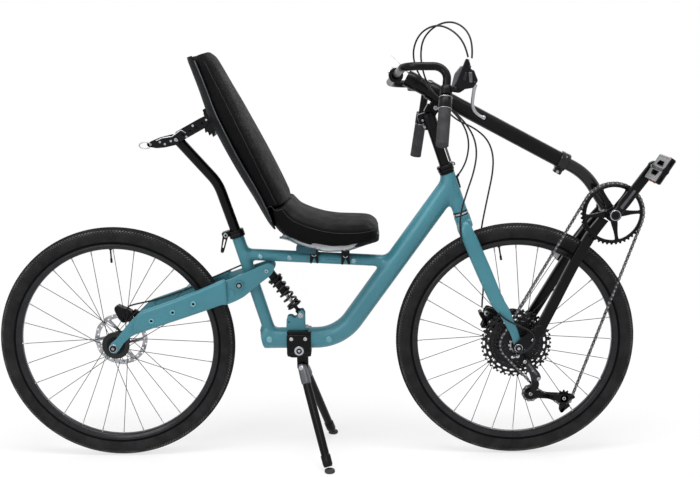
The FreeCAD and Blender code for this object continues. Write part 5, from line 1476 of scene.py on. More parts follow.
def crank_arm(side):
    arm = Piece("crank_%s_detailed" % WORDS[side])
    out = ACROSS * side
    face, end = CRANK + out * ARM_MIDDLE, crank_end(side)
    low, high = span(side, ARM_MIDDLE - ARM_HALF, ARM_MIDDLE + ARM_HALF)
    arm.add(about_crank(prism(crank_outline(), low, high, [ARM_SLOT], bevel=2.6),
                        CRANK_ANGLES[side]), BLACK_PAINT)
    low, high = span(side, ARM_MIDDLE + ARM_HALF - 2.2, ARM_MIDDLE + ARM_HALF - 1.2)
    arm.add(about_crank(prism(SLOT_FLOOR, low, high, bevel=0.3), CRANK_ANGLES[side]),
            GREY_ALLOY)
    arm.add(washer(face + out * 6, out, 15.0, 13.2, 1.2), SILVER)
    arm.add(washer(face + out * 5.6, out, 13.2, 9, 1.2), BLACK_GLOSS)
    arm.add(bolt(face + out * 5, out, 9.6, 2.6, 0.55), BLACK_ALLOY)
    arm.add(washer(end + out * (ARM_MIDDLE + 6), out, 9.0, 4, 1.0), SILVER)
    arm.add(lathe(((4, -(ARM_MIDDLE + 56)), (4, -(ARM_MIDDLE + 4))), end, -out, 20), STEEL)
    if side == RIGHT:
        arm.add(lathe(((12, -74), (12, 74)), CRANK, count=32), STEEL)
    arm.made("crank", "black_paint", "crank_" + WORDS[side])


for side in SIDES:
    crank_arm(side)

# ---------------- chainring

RING_TIP, RING_TEETH, RING_HALF = 91.0, 44, 1
SPIDER_TURNS = (-80, 3, 60, 117, 185)              # the spider's arms, degrees from forward
SPIDER_EDGE = ((14, -10.5), (30, -9.2), (52, -5.6), (72, -4.6), (79, -8.5))
RING_BAND = ((76, -57), (82.5, -57), (83.4, -56), (83.4, -51.2), (76.8, -51.2), (76, -52))
SPIDER_HUB = ((12.3, -70), (20, -70), (22.5, -66), (22.5, -51.6), (12.3, -51.6))

chainring = Piece("chainring_with_spider")
ring_plate = prism(gear(RING_TEETH, RING_TIP, 5.0), -CHAIN_SIDE - RING_HALF,
                   -CHAIN_SIDE + RING_HALF, [circle(RING_TIP - 13.5, count=72)], bevel=0.3)
chainring.add(about_crank(ring_plate), BLACK_ALLOY)
chainring.add(hollow(RING_BAND, CRANK, count=96), BLACK_PAINT)
spider_arm = SPIDER_EDGE + tuple((x, -z) for x, z in SPIDER_EDGE[::-1])
for turn in SPIDER_TURNS:
    chainring.add(about_crank(prism(rounded(spider_arm, 5, 4), -57.2, -51.6, bevel=1.4), turn),
                  BLACK_PAINT)
    chainring.add(bolt(CRANK + 76 * wheel_way(math.radians(turn)) - ACROSS * 57.0, -ACROSS,
                       4.2, 1.2), BLACK_ALLOY)
chainring.add(hollow(SPIDER_HUB, CRANK, count=48), BLACK_ALLOY)
chainring.made("crank", "black_alloy", "chainring", sharp=30)

# ---------------- pedals

# a pedal is drawn about the origin, its length along X and its width along Y
PEDAL_TILT = 57.5
PEDAL_END, PEDAL_SIDE, PEDAL_FACE = 39.0, 54.0, 7.0
PEDAL_CUT = 3                                      # off each corner
PEDAL_WINDOW = ((8.5, -28), (21, -20), (21, 20), (8.5, 28))
PEDAL_BARREL = ((5, -54), (9.6, -53.5), (9.6, 53.5), (5, 54))
PEDAL_CAP = ((8.6, 0), (8.6, 1.4), (7.2, 2.2), (4.4, 2.2))


def pedal_plan():
    """The pedal's outline from above, with its corners cut off."""
    x, y, cut = PEDAL_END, PEDAL_SIDE, PEDAL_CUT
    return rounded(((-x, -y + cut), (-x + cut, -y), (x - cut, -y), (x, -y + cut),
                    (x, y - cut), (x - cut, y), (-x + cut, y), (-x, y - cut)), 3)


def flat(outline, near, far, holes=(), bevel=0.5, side=1):
    """A plate lying flat, from near to far above the pedal's middle, or below at side -1."""
    return turned(prism(outline, *span(side, near, far), holes, bevel), "X", 90)


def pedal_parts():
    """The surfaces of a pedal about the origin, each with its finish."""
    plan = pedal_plan()
    windows = [rounded([(way * x, y) for x, y in PEDAL_WINDOW], 4) for way in (-1, 1)]
    yield flat(plan, -PEDAL_FACE, PEDAL_FACE, windows, 1.6), BLACK_ALLOY
    for up in (-1, 1):
        yield flat(shrunk(plan, 5.0), PEDAL_FACE - 1, PEDAL_FACE + 0.6, windows, 0.4,
                   up), PEDAL_GREY
        yield flat(shrunk(plan, 1.6), PEDAL_FACE - 1, PEDAL_FACE + 1.8, [shrunk(plan, 5.4)],
                   0.6, up), PEDAL_GREY
        for window in windows:
            yield flat(shrunk(window, -1.4), PEDAL_FACE - 1, PEDAL_FACE + 1.8, [window], 0.4,
                       up), BLACK_ALLOY
    yield lathe(PEDAL_BARREL, (0, 0, 0), count=32), BLACK_ALLOY
    for edge in (-1, 1):
        yield lathe(PEDAL_CAP, (0, edge * PEDAL_SIDE, 0), (0, edge, 0), 28), BLACK_PAINT
        # near-black recesses in the pedal's side: painted shade
        for x in (-24, 24):
            yield box((15, 1.6, 6.4), (x, edge * (PEDAL_SIDE + 0.1), 0), corner=1.6,
                      bevel=0.4), HOLE_SHADE
        yield box((3, 46, 8), (edge * (PEDAL_END + 0.4), 0, 0), corner=1.4, bevel=0.5), ORANGE


for side in SIDES:
    pedal = Piece("pedal_%s_detailed" % WORDS[side])
    centre = crank_end(side) + ACROSS * side * (ARM_MIDDLE + 12 + PEDAL_SIDE)
    for surface, finish in pedal_parts():
        pedal.add(shifted(turned(surface, "Y", -PEDAL_TILT), centre), finish)
    pedal.made("pedal_" + WORDS[side], "black_alloy", "pedal_" + WORDS[side])

# ---------------- chain

GUIDE, TENSION = np.array((1222.5, 0, 201.0)), np.array((1320.8, 0, 186.0))
CHAIN_CIRCLES = (
    # centre, radius; a positive radius has its centre to the left of the way of travel
    (CRANK, 87.5), (FRONT_AXLE, 48.5), (GUIDE, -22.0), (TENSION, 22.0))
INNER_PLATE, OUTER_PLATE, PLATE_HALF = 2.3, 3.5, 0.55        # out from the chain's middle
PLATE_END, PLATE_WAIST = 4.0, 2.7
ROLLER = ((1.9, -4.3), (1.9, -2), (3.8, -2), (3.8, 2), (1.9, 2), (1.9, 4.3))


def tangent(first, r_first, second, r_second):
    """The straight run between two of the chain's circles."""
    apart = (second - first)[[0, 2]]
    lean = math.asin((r_second - r_first) / np.linalg.norm(apart))
    way = wheel_way(math.atan2(apart[1], apart[0]) - lean - math.pi / 2)
    return first + way * r_first, second + way * r_second


def chain_line():
    """The chain's closed line, a millimetre apart."""
    count = len(CHAIN_CIRCLES)
    runs = [tangent(*CHAIN_CIRCLES[n], *CHAIN_CIRCLES[(n + 1) % count]) for n in range(count)]
    line = []
    for number, (start, end) in enumerate(runs):
        line += list(straight(start, end, 1.0))[:-1]
        centre, radius = CHAIN_CIRCLES[(number + 1) % count]
        arrive, leave = end - centre, runs[(number + 1) % count][0] - centre
        first = math.atan2(arrive[2], arrive[0])
        last = math.atan2(leave[2], leave[0])
        sweep_angle = (last - first) % FULL_TURN
        if radius < 0:
            sweep_angle -= FULL_TURN
        steps = max(4, int(abs(sweep_angle * radius)))
        for turn in first + np.linspace(0, sweep_angle, steps)[:-1]:
            line.append(centre + abs(radius) * wheel_way(turn))
    return np.array(line + line[:1])


def pin_places(line):
    """The pins' places: an even number of links, as near to the true pitch as fits."""
    run = np.concatenate(([0], np.cumsum(np.linalg.norm(np.diff(line, axis=0), axis=1))))
    count = 2 * round(run[-1] / LINK_PITCH / 2)
    at = np.arange(count + 1) * run[-1] / count
    return np.stack([np.interp(at, run, line[:, number]) for number in range(3)], -1)


def link_outline(half):
    end = circle(PLATE_END, (half, 0), 10)
    return np.concatenate((circle(PLATE_END, (-half, 0), 10)[2:9], [(0, -PLATE_WAIST)],
                           end[-3:], end[:4], [(0, PLATE_WAIST)]))


chain = Piece("roller_chain")
pins = pin_places(chain_line()) - ACROSS * CHAIN_SIDE
for number, (start, end) in enumerate(zip(pins[:-1], pins[1:])):
    way = end - start
    turn = -math.degrees(math.atan2(way[2], way[0]))
    reach = OUTER_PLATE if number % 2 else INNER_PLATE
    outline = link_outline(np.linalg.norm(way) / 2)
    for side in SIDES:
        plate = prism(outline, *span(side, reach - PLATE_HALF, reach + PLATE_HALF), bevel=0.15)
        chain.add(shifted(turned(plate, "Y", turn), (start + end) / 2), CHAIN_STEEL)
    chain.add(lathe(ROLLER, start, count=10), STEEL)
chain.made("front_end", "bright_steel", "chain", sharp=30)

# ---------------- derailleur

PULLEY_TIP, PULLEY_TEETH, PULLEY_HALF = 24.0, 12, 1.2
CAGE_SIDES = ((-58.6, -56.6), (-43.6, -41.8))
GUIDE_SPOT, TENSION_SPOT = GUIDE[[0, 2]], TENSION[[0, 2]]
CAGE_SPOT = (GUIDE_SPOT + TENSION_SPOT) / 2
CAGE_ARMS = (
    # two circles of the side view, each a middle and a radius
    (GUIDE_SPOT, 12.0, CAGE_SPOT, 7.5), (CAGE_SPOT, 7.5, TENSION_SPOT, 12.5),
    (TENSION_SPOT, 11.0, TENSION_SPOT + (-6, -38), 6.0),
    (TENSION_SPOT, 10.0, TENSION_SPOT + (27, 4), 5.0),
    (TENSION_SPOT + (-6, -38), 5.0, TENSION_SPOT + (14, -22), 4.0))
CAGE_SLOT = hull(CAGE_SPOT - (14, -2), 2.6, CAGE_SPOT + (16, -2.6), 2.6, 8)
MECH_BODY = (
    # x, z, y, height, width
    (1168, 330, -73, 15, 9), (1178, 322, -74, 24, 12), (1192, 308, -75, 33, 16),
    (1206, 291, -75, 37, 20), (1220, 272, -74, 38, 23), (1230, 252, -72, 36, 22),
    (1232, 236, -70, 28, 17), (1228, 220, -66, 20, 11), (1224, 206, -62, 14, 7))
LINK_FRONT = ((1196, 314), (1206, 320), (1244, 272), (1248, 258), (1238, 246), (1226, 250),
              (1206, 284))
# a lighter grey strip on the front link: a painted highlight
LINK_HIGHLIGHT_STRIP = hull((1211, 300), 3.0, (1234, 270), 3.0, 10)
MECH_KNUCKLE = ((1168, 322), (1176, 336), (1192, 330), (1202, 312), (1190, 302))
MECH_BOLTS = (
    # x, y, z, radius
    (1199, -86.5, 309, 5.0), (1240, -87.0, 257, 5.4), (1222, -87.0, 282, 3.2),
    (1178, -83.5, 326, 6.2))
CABLE_SCREW = ((3.4, 0), (4.0, 1), (4.0, 11), (3.0, 12))


def pulley(piece, centre):
    place = centre - ACROSS * CHAIN_SIDE
    holes = [circle(2.6, polar(10.5, number * math.pi / 3), 10) for number in range(6)]
    piece.add(shifted(prism(gear(PULLEY_TEETH, PULLEY_TIP, 5.0), -PULLEY_HALF, PULLEY_HALF,
                            holes, 0.3), place), BLACK_ALLOY)
    piece.add(lathe(((4, -8.6), (4, 8.6)), place, count=20), STEEL)
    piece.add(bolt(place - ACROSS * 7.6, -ACROSS, 5.2, 2.4), SILVER)


def pulley_cage(piece, low, high):
    """One side of the cage: a slim arm between the pulleys with a hooked foot."""
    for circles in CAGE_ARMS:
        piece.add(prism(hull(*circles, 12), low, high, bevel=0.4), BLACK_ALLOY)
    # a near-black slot through the cage: painted shade
    piece.add(prism(CAGE_SLOT, low - 0.2, high + 0.2, bevel=0.2), HOLE_SHADE)


mech = Piece("derailleur_detailed")
for centre in (GUIDE, TENSION):
    pulley(mech, centre)
for low, high in CAGE_SIDES:
    pulley_cage(mech, low, high)
mech.add(limb(MECH_BODY, 48, power=5.0, count=32, rows=30), BLACK_ALLOY)
mech.add(prism(rounded(LINK_FRONT, 6), -87.5, -82.0, bevel=1.6, steps=2), BLACK_GLOSS)
# the lighter grey strip: a painted highlight
mech.add(prism(LINK_HIGHLIGHT_STRIP, -88.2, -85.0, bevel=0.8), GREY_ALLOY)
mech.add(prism(rounded(MECH_KNUCKLE, 6), -84.0, -78.0, bevel=1.6, steps=2), BLACK_ALLOY)
for *place, radius in MECH_BOLTS:
    mech.add(bolt(place, -ACROSS, radius, 2.6), SILVER)
mech.add(lathe(CABLE_SCREW, (1160, -84, 321), (0.95, 0, 0.3), 16), SILVER)
mech.made("front_end", "black_alloy", "derailleur")

# ---------------- brake calipers

FRONT_HALF = ((1095, 424), (1103, 439), (1121, 433), (1138, 425), (1152, 398), (1158, 374),
              (1129, 361), (1106, 372), (1084, 374), (1094, 396))
FRONT_BOLTS = ((1103, 420), (1117, 390))
REAR_HALF = ((-15, 444), (-11, 456), (-1, 449), (26, 447), (43, 432), (38, 414), (31, 407),
             (9, 402), (-3, 415))
REAR_BOLTS = ((2, 52, 424), (26, 52, 434))

front_brake = Piece("front_brake_caliper")
for low, high in ((61.5, 72.5), (40.0, 49.0)):
    front_brake.add(prism(rounded(FRONT_HALF, 7), low, high, bevel=2.4, steps=3), BLACK_ALLOY)
front_brake.add(box((12, 32, 54), (1096, 56, 400), -30, corner=5, bevel=1.4), BLACK_ALLOY)
for x, z in FRONT_BOLTS:
    front_brake.add(bolt((x, 72, z), ACROSS, 8.4, 2.4, 0.4), SILVER)
    front_brake.add(bolt((x, 40.5, z), -ACROSS, 8.4, 2.4, 0.4), SILVER)
front_brake.made("front_end", "black_alloy", "front_caliper")

rear_brake = Piece("rear_brake_caliper")
for low, high in ((44.5, 52.5), (28.5, 35.5)):
    rear_brake.add(prism(rounded(REAR_HALF, 6), low, high, bevel=2.0, steps=3), BLACK_ALLOY)
rear_brake.add(box((48, 24, 9), (15, 41, 444), 24, corner=4, bevel=1.4), BLACK_ALLOY)
rear_brake.add(box((32, 11, 32), (48, 49.5, 420), 31, corner=6, bevel=1.4), BLACK_ALLOY)
for place in REAR_BOLTS:
    rear_brake.add(bolt(place, ACROSS, 6.4, 2.2, 0.4), SILVER)
rear_brake.made("frame", "black_alloy", "rear_caliper")

# ---------------- handlebar

BAR_TWIST = -10.4
BAR_ROUTE = np.array(((833, 0, 1128), (833, 192, 1128), (949, 198, 1126), (920.7, 259.5, 916)))
BAR_RADIUS, BAR_BORE = 11.1, 11.2
GRIP_RADIUS, GRIP_LENGTH, GRIP_COLLAR, GRIP_RIBS = 16.5, 134.0, 36.0, 44
COLLAR = ((BAR_BORE, 0), (16.4, 0), (17.4, 1.2), (17.4, GRIP_COLLAR - 3),
          (16.6, GRIP_COLLAR - 1), (BAR_BORE, GRIP_COLLAR - 1))
COLLAR_LINE = ((16.6, -0.9), (17.7, -0.7), (17.7, 0.7), (16.6, 0.9))
BAR_BAND = ((BAR_BORE, -22), (19, -22), (20.6, -20), (20.6, 20), (19, 22), (BAR_BORE, 22))
BOOM_BAND = ((CLAMP_BORE, -3), (23.4, -3), (24.2, -1.6), (24.2, 32.6), (23.4, 34),
             (CLAMP_BORE, 34))


def twisted(surface):
    """The handlebar is drawn level, then turned about the boom with its grips."""
    return turned(surface, BOOM, BAR_TWIST, BOOM_FOOT)


def grip_profile():
    """The grip's section: radius, distance down from its top."""
    ribs = np.linspace(GRIP_COLLAR + 3, GRIP_LENGTH - 6, GRIP_RIBS)
    return ([(BAR_RADIUS, GRIP_COLLAR), (GRIP_RADIUS, GRIP_COLLAR + 0.6)]
            + [(GRIP_RADIUS + (0.4 if n % 2 else -0.3), along) for n, along in enumerate(ribs)]
            + [(GRIP_RADIUS, GRIP_LENGTH - 3), (GRIP_RADIUS + 0.4, GRIP_LENGTH + 2),
               (GRIP_RADIUS - 1.4, GRIP_LENGTH + 4), (4, GRIP_LENGTH + 4.4)])


def grip_line(side):
    """The bar's end on one side, and the way down to it."""
    corner, end = BAR_ROUTE[2:] * (1, side, 1)
    return end, unit(end - corner)


bar = Piece("handlebar_tube")
grips = Piece("handlebar_grips")
for side in SIDES:
    bar.add(twisted(sweep(bent(BAR_ROUTE * (1, side, 1), (45, 34), 4), BAR_RADIUS, 32)),
            BLACK_PAINT)
    end, down = grip_line(side)
    top = end - down * GRIP_LENGTH
    grips.add(twisted(hollow(COLLAR, top, down, 44)), BLACK_ALLOY)
    for along in (3.5, GRIP_COLLAR - 0.6):
        grips.add(twisted(hollow(COLLAR_LINE, top + down * along, down, 44)), SILVER)
    grips.add(twisted(lathe(grip_profile(), top, down, 40)), GRIP)
bar.made("front_end", "black_paint", "handlebar")
grips.made("front_end", "grip_rubber", "grips", sharp=60)

bar_clamp = Piece("bar_clamp_detailed")
bar_clamp.add(hollow(BAR_BAND, (833, 0, 1129), count=44), BLACK_PAINT)
bar_clamp.add(hollow(BOOM_BAND, BOOM_FOOT, BOOM, 56), BLACK_PAINT)
for y in (-14, 14):
    bar_clamp.add(bolt((815, y, 1138), (-0.85, 0, 0.5), 3.8, 3.2), SILVER)
    bar_clamp.add(bolt((826, y, 1149), (-0.2, 0, 0.98), 3.4, 2.6), SILVER)
bar_clamp.made("front_end", "black_paint", "bar_clamp")

# ---------------- brake levers

# outlines in the side view: x, z
LEVER_BODY = ((978, 1107), (985, 1117), (998, 1148), (1009, 1176), (1014, 1176), (1020, 1165),
              (1022, 1149), (1030, 1147), (1041, 1119), (1028, 1101), (1007, 1098),
              (991, 1095))
LEVER_WING = ((970, 1100), (974, 1113), (980, 1138), (998, 1160), (1005, 1154), (992, 1128),
              (984, 1108))
LEVER_FOOT = ((968, 1092), (972, 1106), (1004, 1112), (1008, 1098), (992, 1088))
LEVER_INSET = ((1015.5, 1142), (1025, 1142), (1026, 1115), (1018, 1115))
LEVER_SHADE = ((1000, 1122), (1009, 1120), (1013, 1140), (1007, 1142))
LEVER_PLATES = (
    # outline, corner, low y, high y, bevel, finish
    (LEVER_BODY, 5, -232, -212, 3.0, BLACK_ALLOY), (LEVER_WING, 5, -227, -214, 2.4, GREY_ALLOY),
    (LEVER_FOOT, 5, -230, -206, 2.4, BLACK_ALLOY),
    (LEVER_INSET, 2.5, -233.4, -231, 0.5, GREY_ALLOY),
    (LEVER_SHADE, 2.5, -233, -231, 0.5, BLACK_GLOSS))
BLADE_LINE = ((1034, 1112), (1029.5, 1086), (1027.1, 1061), (1031.4, 1044.5), (1044.2, 1030),
              (1056, 1023.6))
BLADE_ROWS = 40
BLADE_HALF = (0, 6, 30, 39), (6.5, 4.4, 3.6, 3.2)              # row, half width
LEVER_BAND = ((BAR_BORE, -24), (15, -24), (16, -22.5), (16, -1.5), (15, 0), (BAR_BORE, 0))
LEVER_PORT = ((3.0, 0), (4.4, 1), (4.4, 7), (3.4, 8), (3.4, 18), (4.2, 19), (4.2, 24),
              (3.2, 25))
LEVER_SCREWS = ((982, -231.8, 1101), (1019, -231.8, 1156), (1033, -231.8, 1114))
LEFT_LEVER = (
    # x, z, y, height, width
    (914, 1092, 205, 44, 26), (898, 1114, 209, 36, 22), (876, 1128, 212, 24, 16),
    (862, 1143, 214.5, 17, 13), (845, 1163, 219, 13, 12), (825, 1181, 225, 9, 11))
LEFT_BAND = ((BAR_BORE, 0), (17.6, 0), (18.8, 1.6), (18.8, 34), (17.6, 36), (BAR_BORE, 36))


def blade_outline():
    """The right lever's blade: a curved strip that narrows to its tip."""
    line = smooth_rows(BLADE_LINE, BLADE_ROWS)
    way = ways_along(line)
    side = np.stack((-way[:, 1], way[:, 0]), -1)
    half = np.interp(np.arange(BLADE_ROWS), *BLADE_HALF)[:, None]
    return np.concatenate((line + side * half, (line - side * half)[::-1]))


levers = Piece("brake_levers_detailed")
for outline, corner, low, high, bevel, finish in LEVER_PLATES:
    levers.add(prism(rounded(outline, corner), low, high, bevel=bevel), finish)
levers.add(prism(blade_outline(), -229, -219, bevel=1.6), SILVER)
levers.add(box((9, 13, 9), (1056.6, -224, 1023.4), 20, corner=3), SILVER)
end, down = grip_line(RIGHT)
levers.add(twisted(hollow(LEVER_BAND, end - down * (GRIP_LENGTH + 4), down, 40)), BLACK_ALLOY)
levers.add(lathe(LEVER_PORT, (1015.2, -222, 1151), (-0.02, 0.04, 1), 20), SILVER)
for place in LEVER_SCREWS:
    levers.add(bolt(place, -ACROSS, 3.4, 1.8), BLACK_GLOSS)
levers.add(limb(LEFT_LEVER, 45, power=3.0, count=32, rows=40), BLACK_ALLOY)
levers.add(twisted(hollow(LEFT_BAND, (893, 195, 1125), (36, 2, -3), 40)), BLACK_ALLOY)
levers.made("front_end", "lever_alloy", "brake_levers")

# ---------------- seat post and clamp

POST_ROUTE, POST_BEND = ((367.9, 0, 674.4), (318, 0, 827.6), (208, 0, 953.5)), (140,)
CLAMP_LOW, CLAMP_HIGH = np.array((369.6, 0, 668.5)), np.array((363.5, 0, 689.0))
CLAMP_WAY = unit(CLAMP_HIGH - CLAMP_LOW)
CLAMP_RING = ((15.2, 0), (21.6, 0), (23, 1.4), (23, 20), (21.6, 21.4), (15.2, 21.4))
CLAMP_LINE = ((22.6, 9.4), (23.4, 9.6), (23.4, 11.4), (22.6, 11.6))
QUICK_LEVER = prism(hull((0, 0), 8, (46, -6), 5, 10), -3, 3,
                    [hull((12, -1.4), 2.4, (34, -4.6), 2.0, 8)], 1.0)

post = Piece("seat_post_bent").add(sweep(bent(POST_ROUTE, POST_BEND, 4), 15, 40), BLACK_PAINT)
post.made("frame", "black_paint", "seat_post")

post_clamp = Piece("seat_post_clamp_detailed")
post_clamp.add(hollow(CLAMP_RING, CLAMP_LOW, CLAMP_WAY, 48), BLACK_ALLOY)
post_clamp.add(hollow(CLAMP_LINE, CLAMP_LOW, CLAMP_WAY, 48), BLACK_GLOSS)
post_clamp.add(box((26, 25, 17), (338, 0, 678), -16, corner=4), BLACK_ALLOY)
post_clamp.add(shifted(turned(QUICK_LEVER, "Y", 96), (336, -17, 675)), BLACK_ALLOY)
post_clamp.add(bolt((337, -15, 677), -ACROSS, 7, 7), SILVER)
post_clamp.made("frame", "black_alloy", "seat_post_clamp")

# ---------------- seat shell and pan

SHELL_ROWS = (
    # x, z of the shell's rear at the middle, half width, how far the sides wrap forward
    (478, 700, 96, 12), (466, 716, 120, 20), (448, 748, 141, 28), (426, 788, 147, 33),
    (392, 846, 147, 36), (337, 947, 131, 36), (298.5, 1030, 111, 34), (278, 1093, 98, 31),
    (258, 1150, 86, 28), (248, 1178, 76, 24), (246, 1186, 62, 18))
PAN_ROWS = (
    # x, z of the pan's underside at the middle, half width, rise of the sides
    (500, 668, 96, 14), (522, 661, 118, 30), (547, 650, 128, 34), (587, 637, 131, 38),
    (633, 628.5, 132, 35), (680, 629, 131, 32), (711, 636, 127, 30), (742, 646, 116, 34),
    (765, 659, 96, 28), (780, 672, 70, 18))
SHEET_ROWS, SHEET_POINTS, SHEET_THICK = 60, 41, 4.0
WRAP_POWER, RISE_POWER = 2.6, 2.4
SHELL_RIM_RADIUS = 1.9


def shell_rings():
    """Rings round the shell, each along its back from side to side and again along its front."""
    rows = smooth_rows(SHELL_ROWS, SHEET_ROWS)
    across = np.linspace(-1, 1, SHEET_POINTS)
    rings = []
    for (x, z, half, wrap), (along_x, along_z) in zip(rows, ways_along(rows[:, :2])):
        sheets = []
        for offset in (0.0, SHEET_THICK):
            depth = np.abs(across) ** WRAP_POWER * wrap + offset
            sheets.append(np.stack((x + along_z * depth, across * half, z - along_x * depth),
                                   -1))
        rings.append(np.concatenate((sheets[0], sheets[1][::-1])))
    return np.array(rings)


def pan_rings():
    across = np.linspace(-1, 1, SHEET_POINTS)
    for x, z, half, rise in smooth_rows(PAN_ROWS, SHEET_ROWS):
        lift = np.abs(across) ** RISE_POWER * rise
        under = np.stack((np.full(SHEET_POINTS, x), across * half, z + lift), -1)
        yield np.concatenate((under, (under + (0, 0, SHEET_THICK))[::-1]))


shell = Piece("seat_back_shell")
rings = shell_rings()
shell.add(skin(rings), SHELL)
# a bead along each side, standing a little proud of the shell, in a lighter gloss grey: a painted
# highlight along the shell's edge
for column in (0, SHEET_POINTS - 1):
    edge = (rings[3:-2, column] + rings[3:-2, -1 - column]) / 2
    shell.add(sweep(edge, SHELL_RIM_RADIUS, 12), SHELL_EDGE_HIGHLIGHT)
shell.made("frame", "shell", "back_shell", sharp=50)
pan = Piece("seat_pan_dished").add(skin(list(pan_rings())), PAN)
pan.made("frame", "shell", "seat_pan", sharp=50)

# ---------------- cushions

BACK_ROWS = (
    # side's rear x, z, front x, z, half width
    (474, 772, 516, 777, 138), (464, 786, 505, 792, 139), (445, 825, 483, 838, 140),
    (417, 879, 456, 895, 138), (391, 929, 431.5, 946, 131), (361, 986, 403.5, 1003, 120),
    (335, 1039, 377, 1057, 108), (313, 1093, 350.5, 1108, 96), (295, 1147, 324, 1160, 85),
    (286, 1178, 311, 1186, 76), (285, 1198, 300, 1203, 57))
BASE_ROWS = (
    # side's lower x, z, upper x, z, half width
    (485, 775, 517, 778, 138), (493, 752, 527, 766, 139), (505, 727, 542, 750, 140),
    (521, 709, 560, 740, 141), (549, 692, 590, 728, 141.5), (600, 676, 630, 717, 141.5),
    (667, 667, 672, 711, 140), (726, 672, 728, 710, 132), (757, 680, 755, 711, 117),
    (773, 681, 770, 711, 98), (782, 684, 779, 707, 72))
PAD_ROWS, SIDE_POINTS = 46, 25
PAD_EASE = 2                                       # how far the outer face falls at its sides
OUTER_CORNER, UNDER_CORNER = 9, 5
PAD_VOXEL = 0.0055                                 # metres
STUFFING_PRESSURE, STUFFING_FRAMES = 4, 20
SWELL_LIMIT = 0.004                                # metres


def pad_ring(near, far, half, sag, crown):
    """One section of a pad: flat sides, a crowned outer face, and an underside that sags."""
    near, far = np.array((near[0], 0, near[1])), np.array((far[0], 0, far[1]))
    thick = np.linalg.norm(far - near)
    across = np.linspace(-1, 1, SIDE_POINTS)
    outer = np.stack((across * (half - 3), thick - PAD_EASE * np.abs(across) ** 5
                      + crown * half * (1 - across ** 2)), -1)
    under = np.stack((across[::-1] * half, -sag * (1 - np.abs(across[::-1]) ** 2.4)), -1)
    corners = np.zeros(2 * SIDE_POINTS)
    corners[[0, SIDE_POINTS - 1]] = OUTER_CORNER
    corners[[SIDE_POINTS, -1]] = UNDER_CORNER
    loop = rounded(np.concatenate((outer, under)), corners, 4)
    return near + loop[:, 1:] * unit(far - near) + loop[:, :1] * ACROSS


def pad_form(rows, sag, crown):
    return skin([pad_ring(row[:2], row[2:4], row[4], sag, crown)
                 for row in smooth_rows(rows, PAD_ROWS)])


def places_of(mesh):
    places = np.empty(len(mesh.vertices) * 3)
    mesh.vertices.foreach_get("co", places)
    return places.reshape(-1, 3)


def stuffed(made):
    """Swell a pad as cloth under pressure, no point by more than SWELL_LIMIT."""
    before = places_of(made.data)
    cloth = made.modifiers.new("stuffing", "CLOTH")
    cloth.settings.use_pressure = True
    cloth.settings.uniform_pressure_force = STUFFING_PRESSURE
    cloth.settings.effector_weights.gravity = 0
    for number in range(1, STUFFING_FRAMES + 1):
        scene.frame_set(number)
    swollen = made.evaluated_get(bpy.context.evaluated_depsgraph_get())
    move = places_of(swollen.data) - before
    made.modifiers.remove(cloth)
    scene.frame_set(1)
    length = np.linalg.norm(move, axis=1)[:, None]
    move *= np.minimum(1, SWELL_LIMIT / np.maximum(length, 1e-9))
    made.data.vertices.foreach_set("co", (before + move).ravel())


def applied(made, kind, **settings):
    """Put a modifier on an object and apply it."""
    modifier = made.modifiers.new(kind.lower(), kind)
    for name, value in settings.items():
        setattr(modifier, name, value)
    bpy.ops.object.modifier_apply(modifier=modifier.name)


def cushion(name, surface, *replaced):
    """A stuffed pad: its form remeshed, swollen as cloth under pressure, then smoothed."""
    verts, faces = surface
    made = held(name, closed_mesh(name, in_frame(verts), faces))
    made.data.materials.append(LEATHER)
    bpy.context.view_layer.objects.active = made
    made.select_set(True)
    applied(made, "REMESH", mode="VOXEL", voxel_size=PAD_VOXEL)
    stuffed(made)
    applied(made, "SMOOTH", factor=0.5, iterations=6)
    applied(made, "SUBSURF", levels=1, render_levels=1)
    made.select_set(False)
    made.data.shade_smooth()
    placed(made, "frame", "cushion", *replaced)
    return made


back_pad = cushion("back_cushion_padded", pad_form(BACK_ROWS, 22, 0.125), "back_cushion")
base_pad = cushion("base_cushion_padded", pad_form(BASE_ROWS, 26, 0.1), "base_cushion")

# ---------------- stitching

THREAD_RADIUS, THREAD_LIFT = 0.7, 0.2
FOLD_LINE = ((476, 772), (488, 774), (502, 776), (520, 780))
FOLD_SIDE, FOLD_POINTS, EDGE_POINTS = 146.0, 30, 90
EDGE_OUT = 3                                       # a seam's route beyond the pad's half width


def stitched(name, route, *pads):
    """A row of thread laid on the pads' surface along a route."""
    trees = [BVHTree.FromObject(pad, bpy.context.evaluated_depsgraph_get()) for pad in pads]
    laid = []
    for spot in in_frame(route):
        hits = [tree.find_nearest(Vector(spot)) for tree in trees]
        place, normal, _, _ = min(hits, key=lambda hit: hit[3])
        laid.append(np.array(place + normal * THREAD_LIFT * MM))
    line = (np.array(laid) - ORIGIN) / MM
    Piece(name).add(sweep(line, THREAD_RADIUS, 8), THREAD).made("frame", "cushion")


def edge_route(side, rows, edge, by, back, drop):
    """A seam's route near a pad's outer edge; its width is found by x where by is 0, or by z."""
    line = smooth_rows(edge, EDGE_POINTS)
    width = np.interp(line[:, by], [row[2 + by] for row in rows], [row[4] for row in rows])
    return np.stack((line[:, 0] - back, side * (width + EDGE_OUT), line[:, 1] - drop), -1)


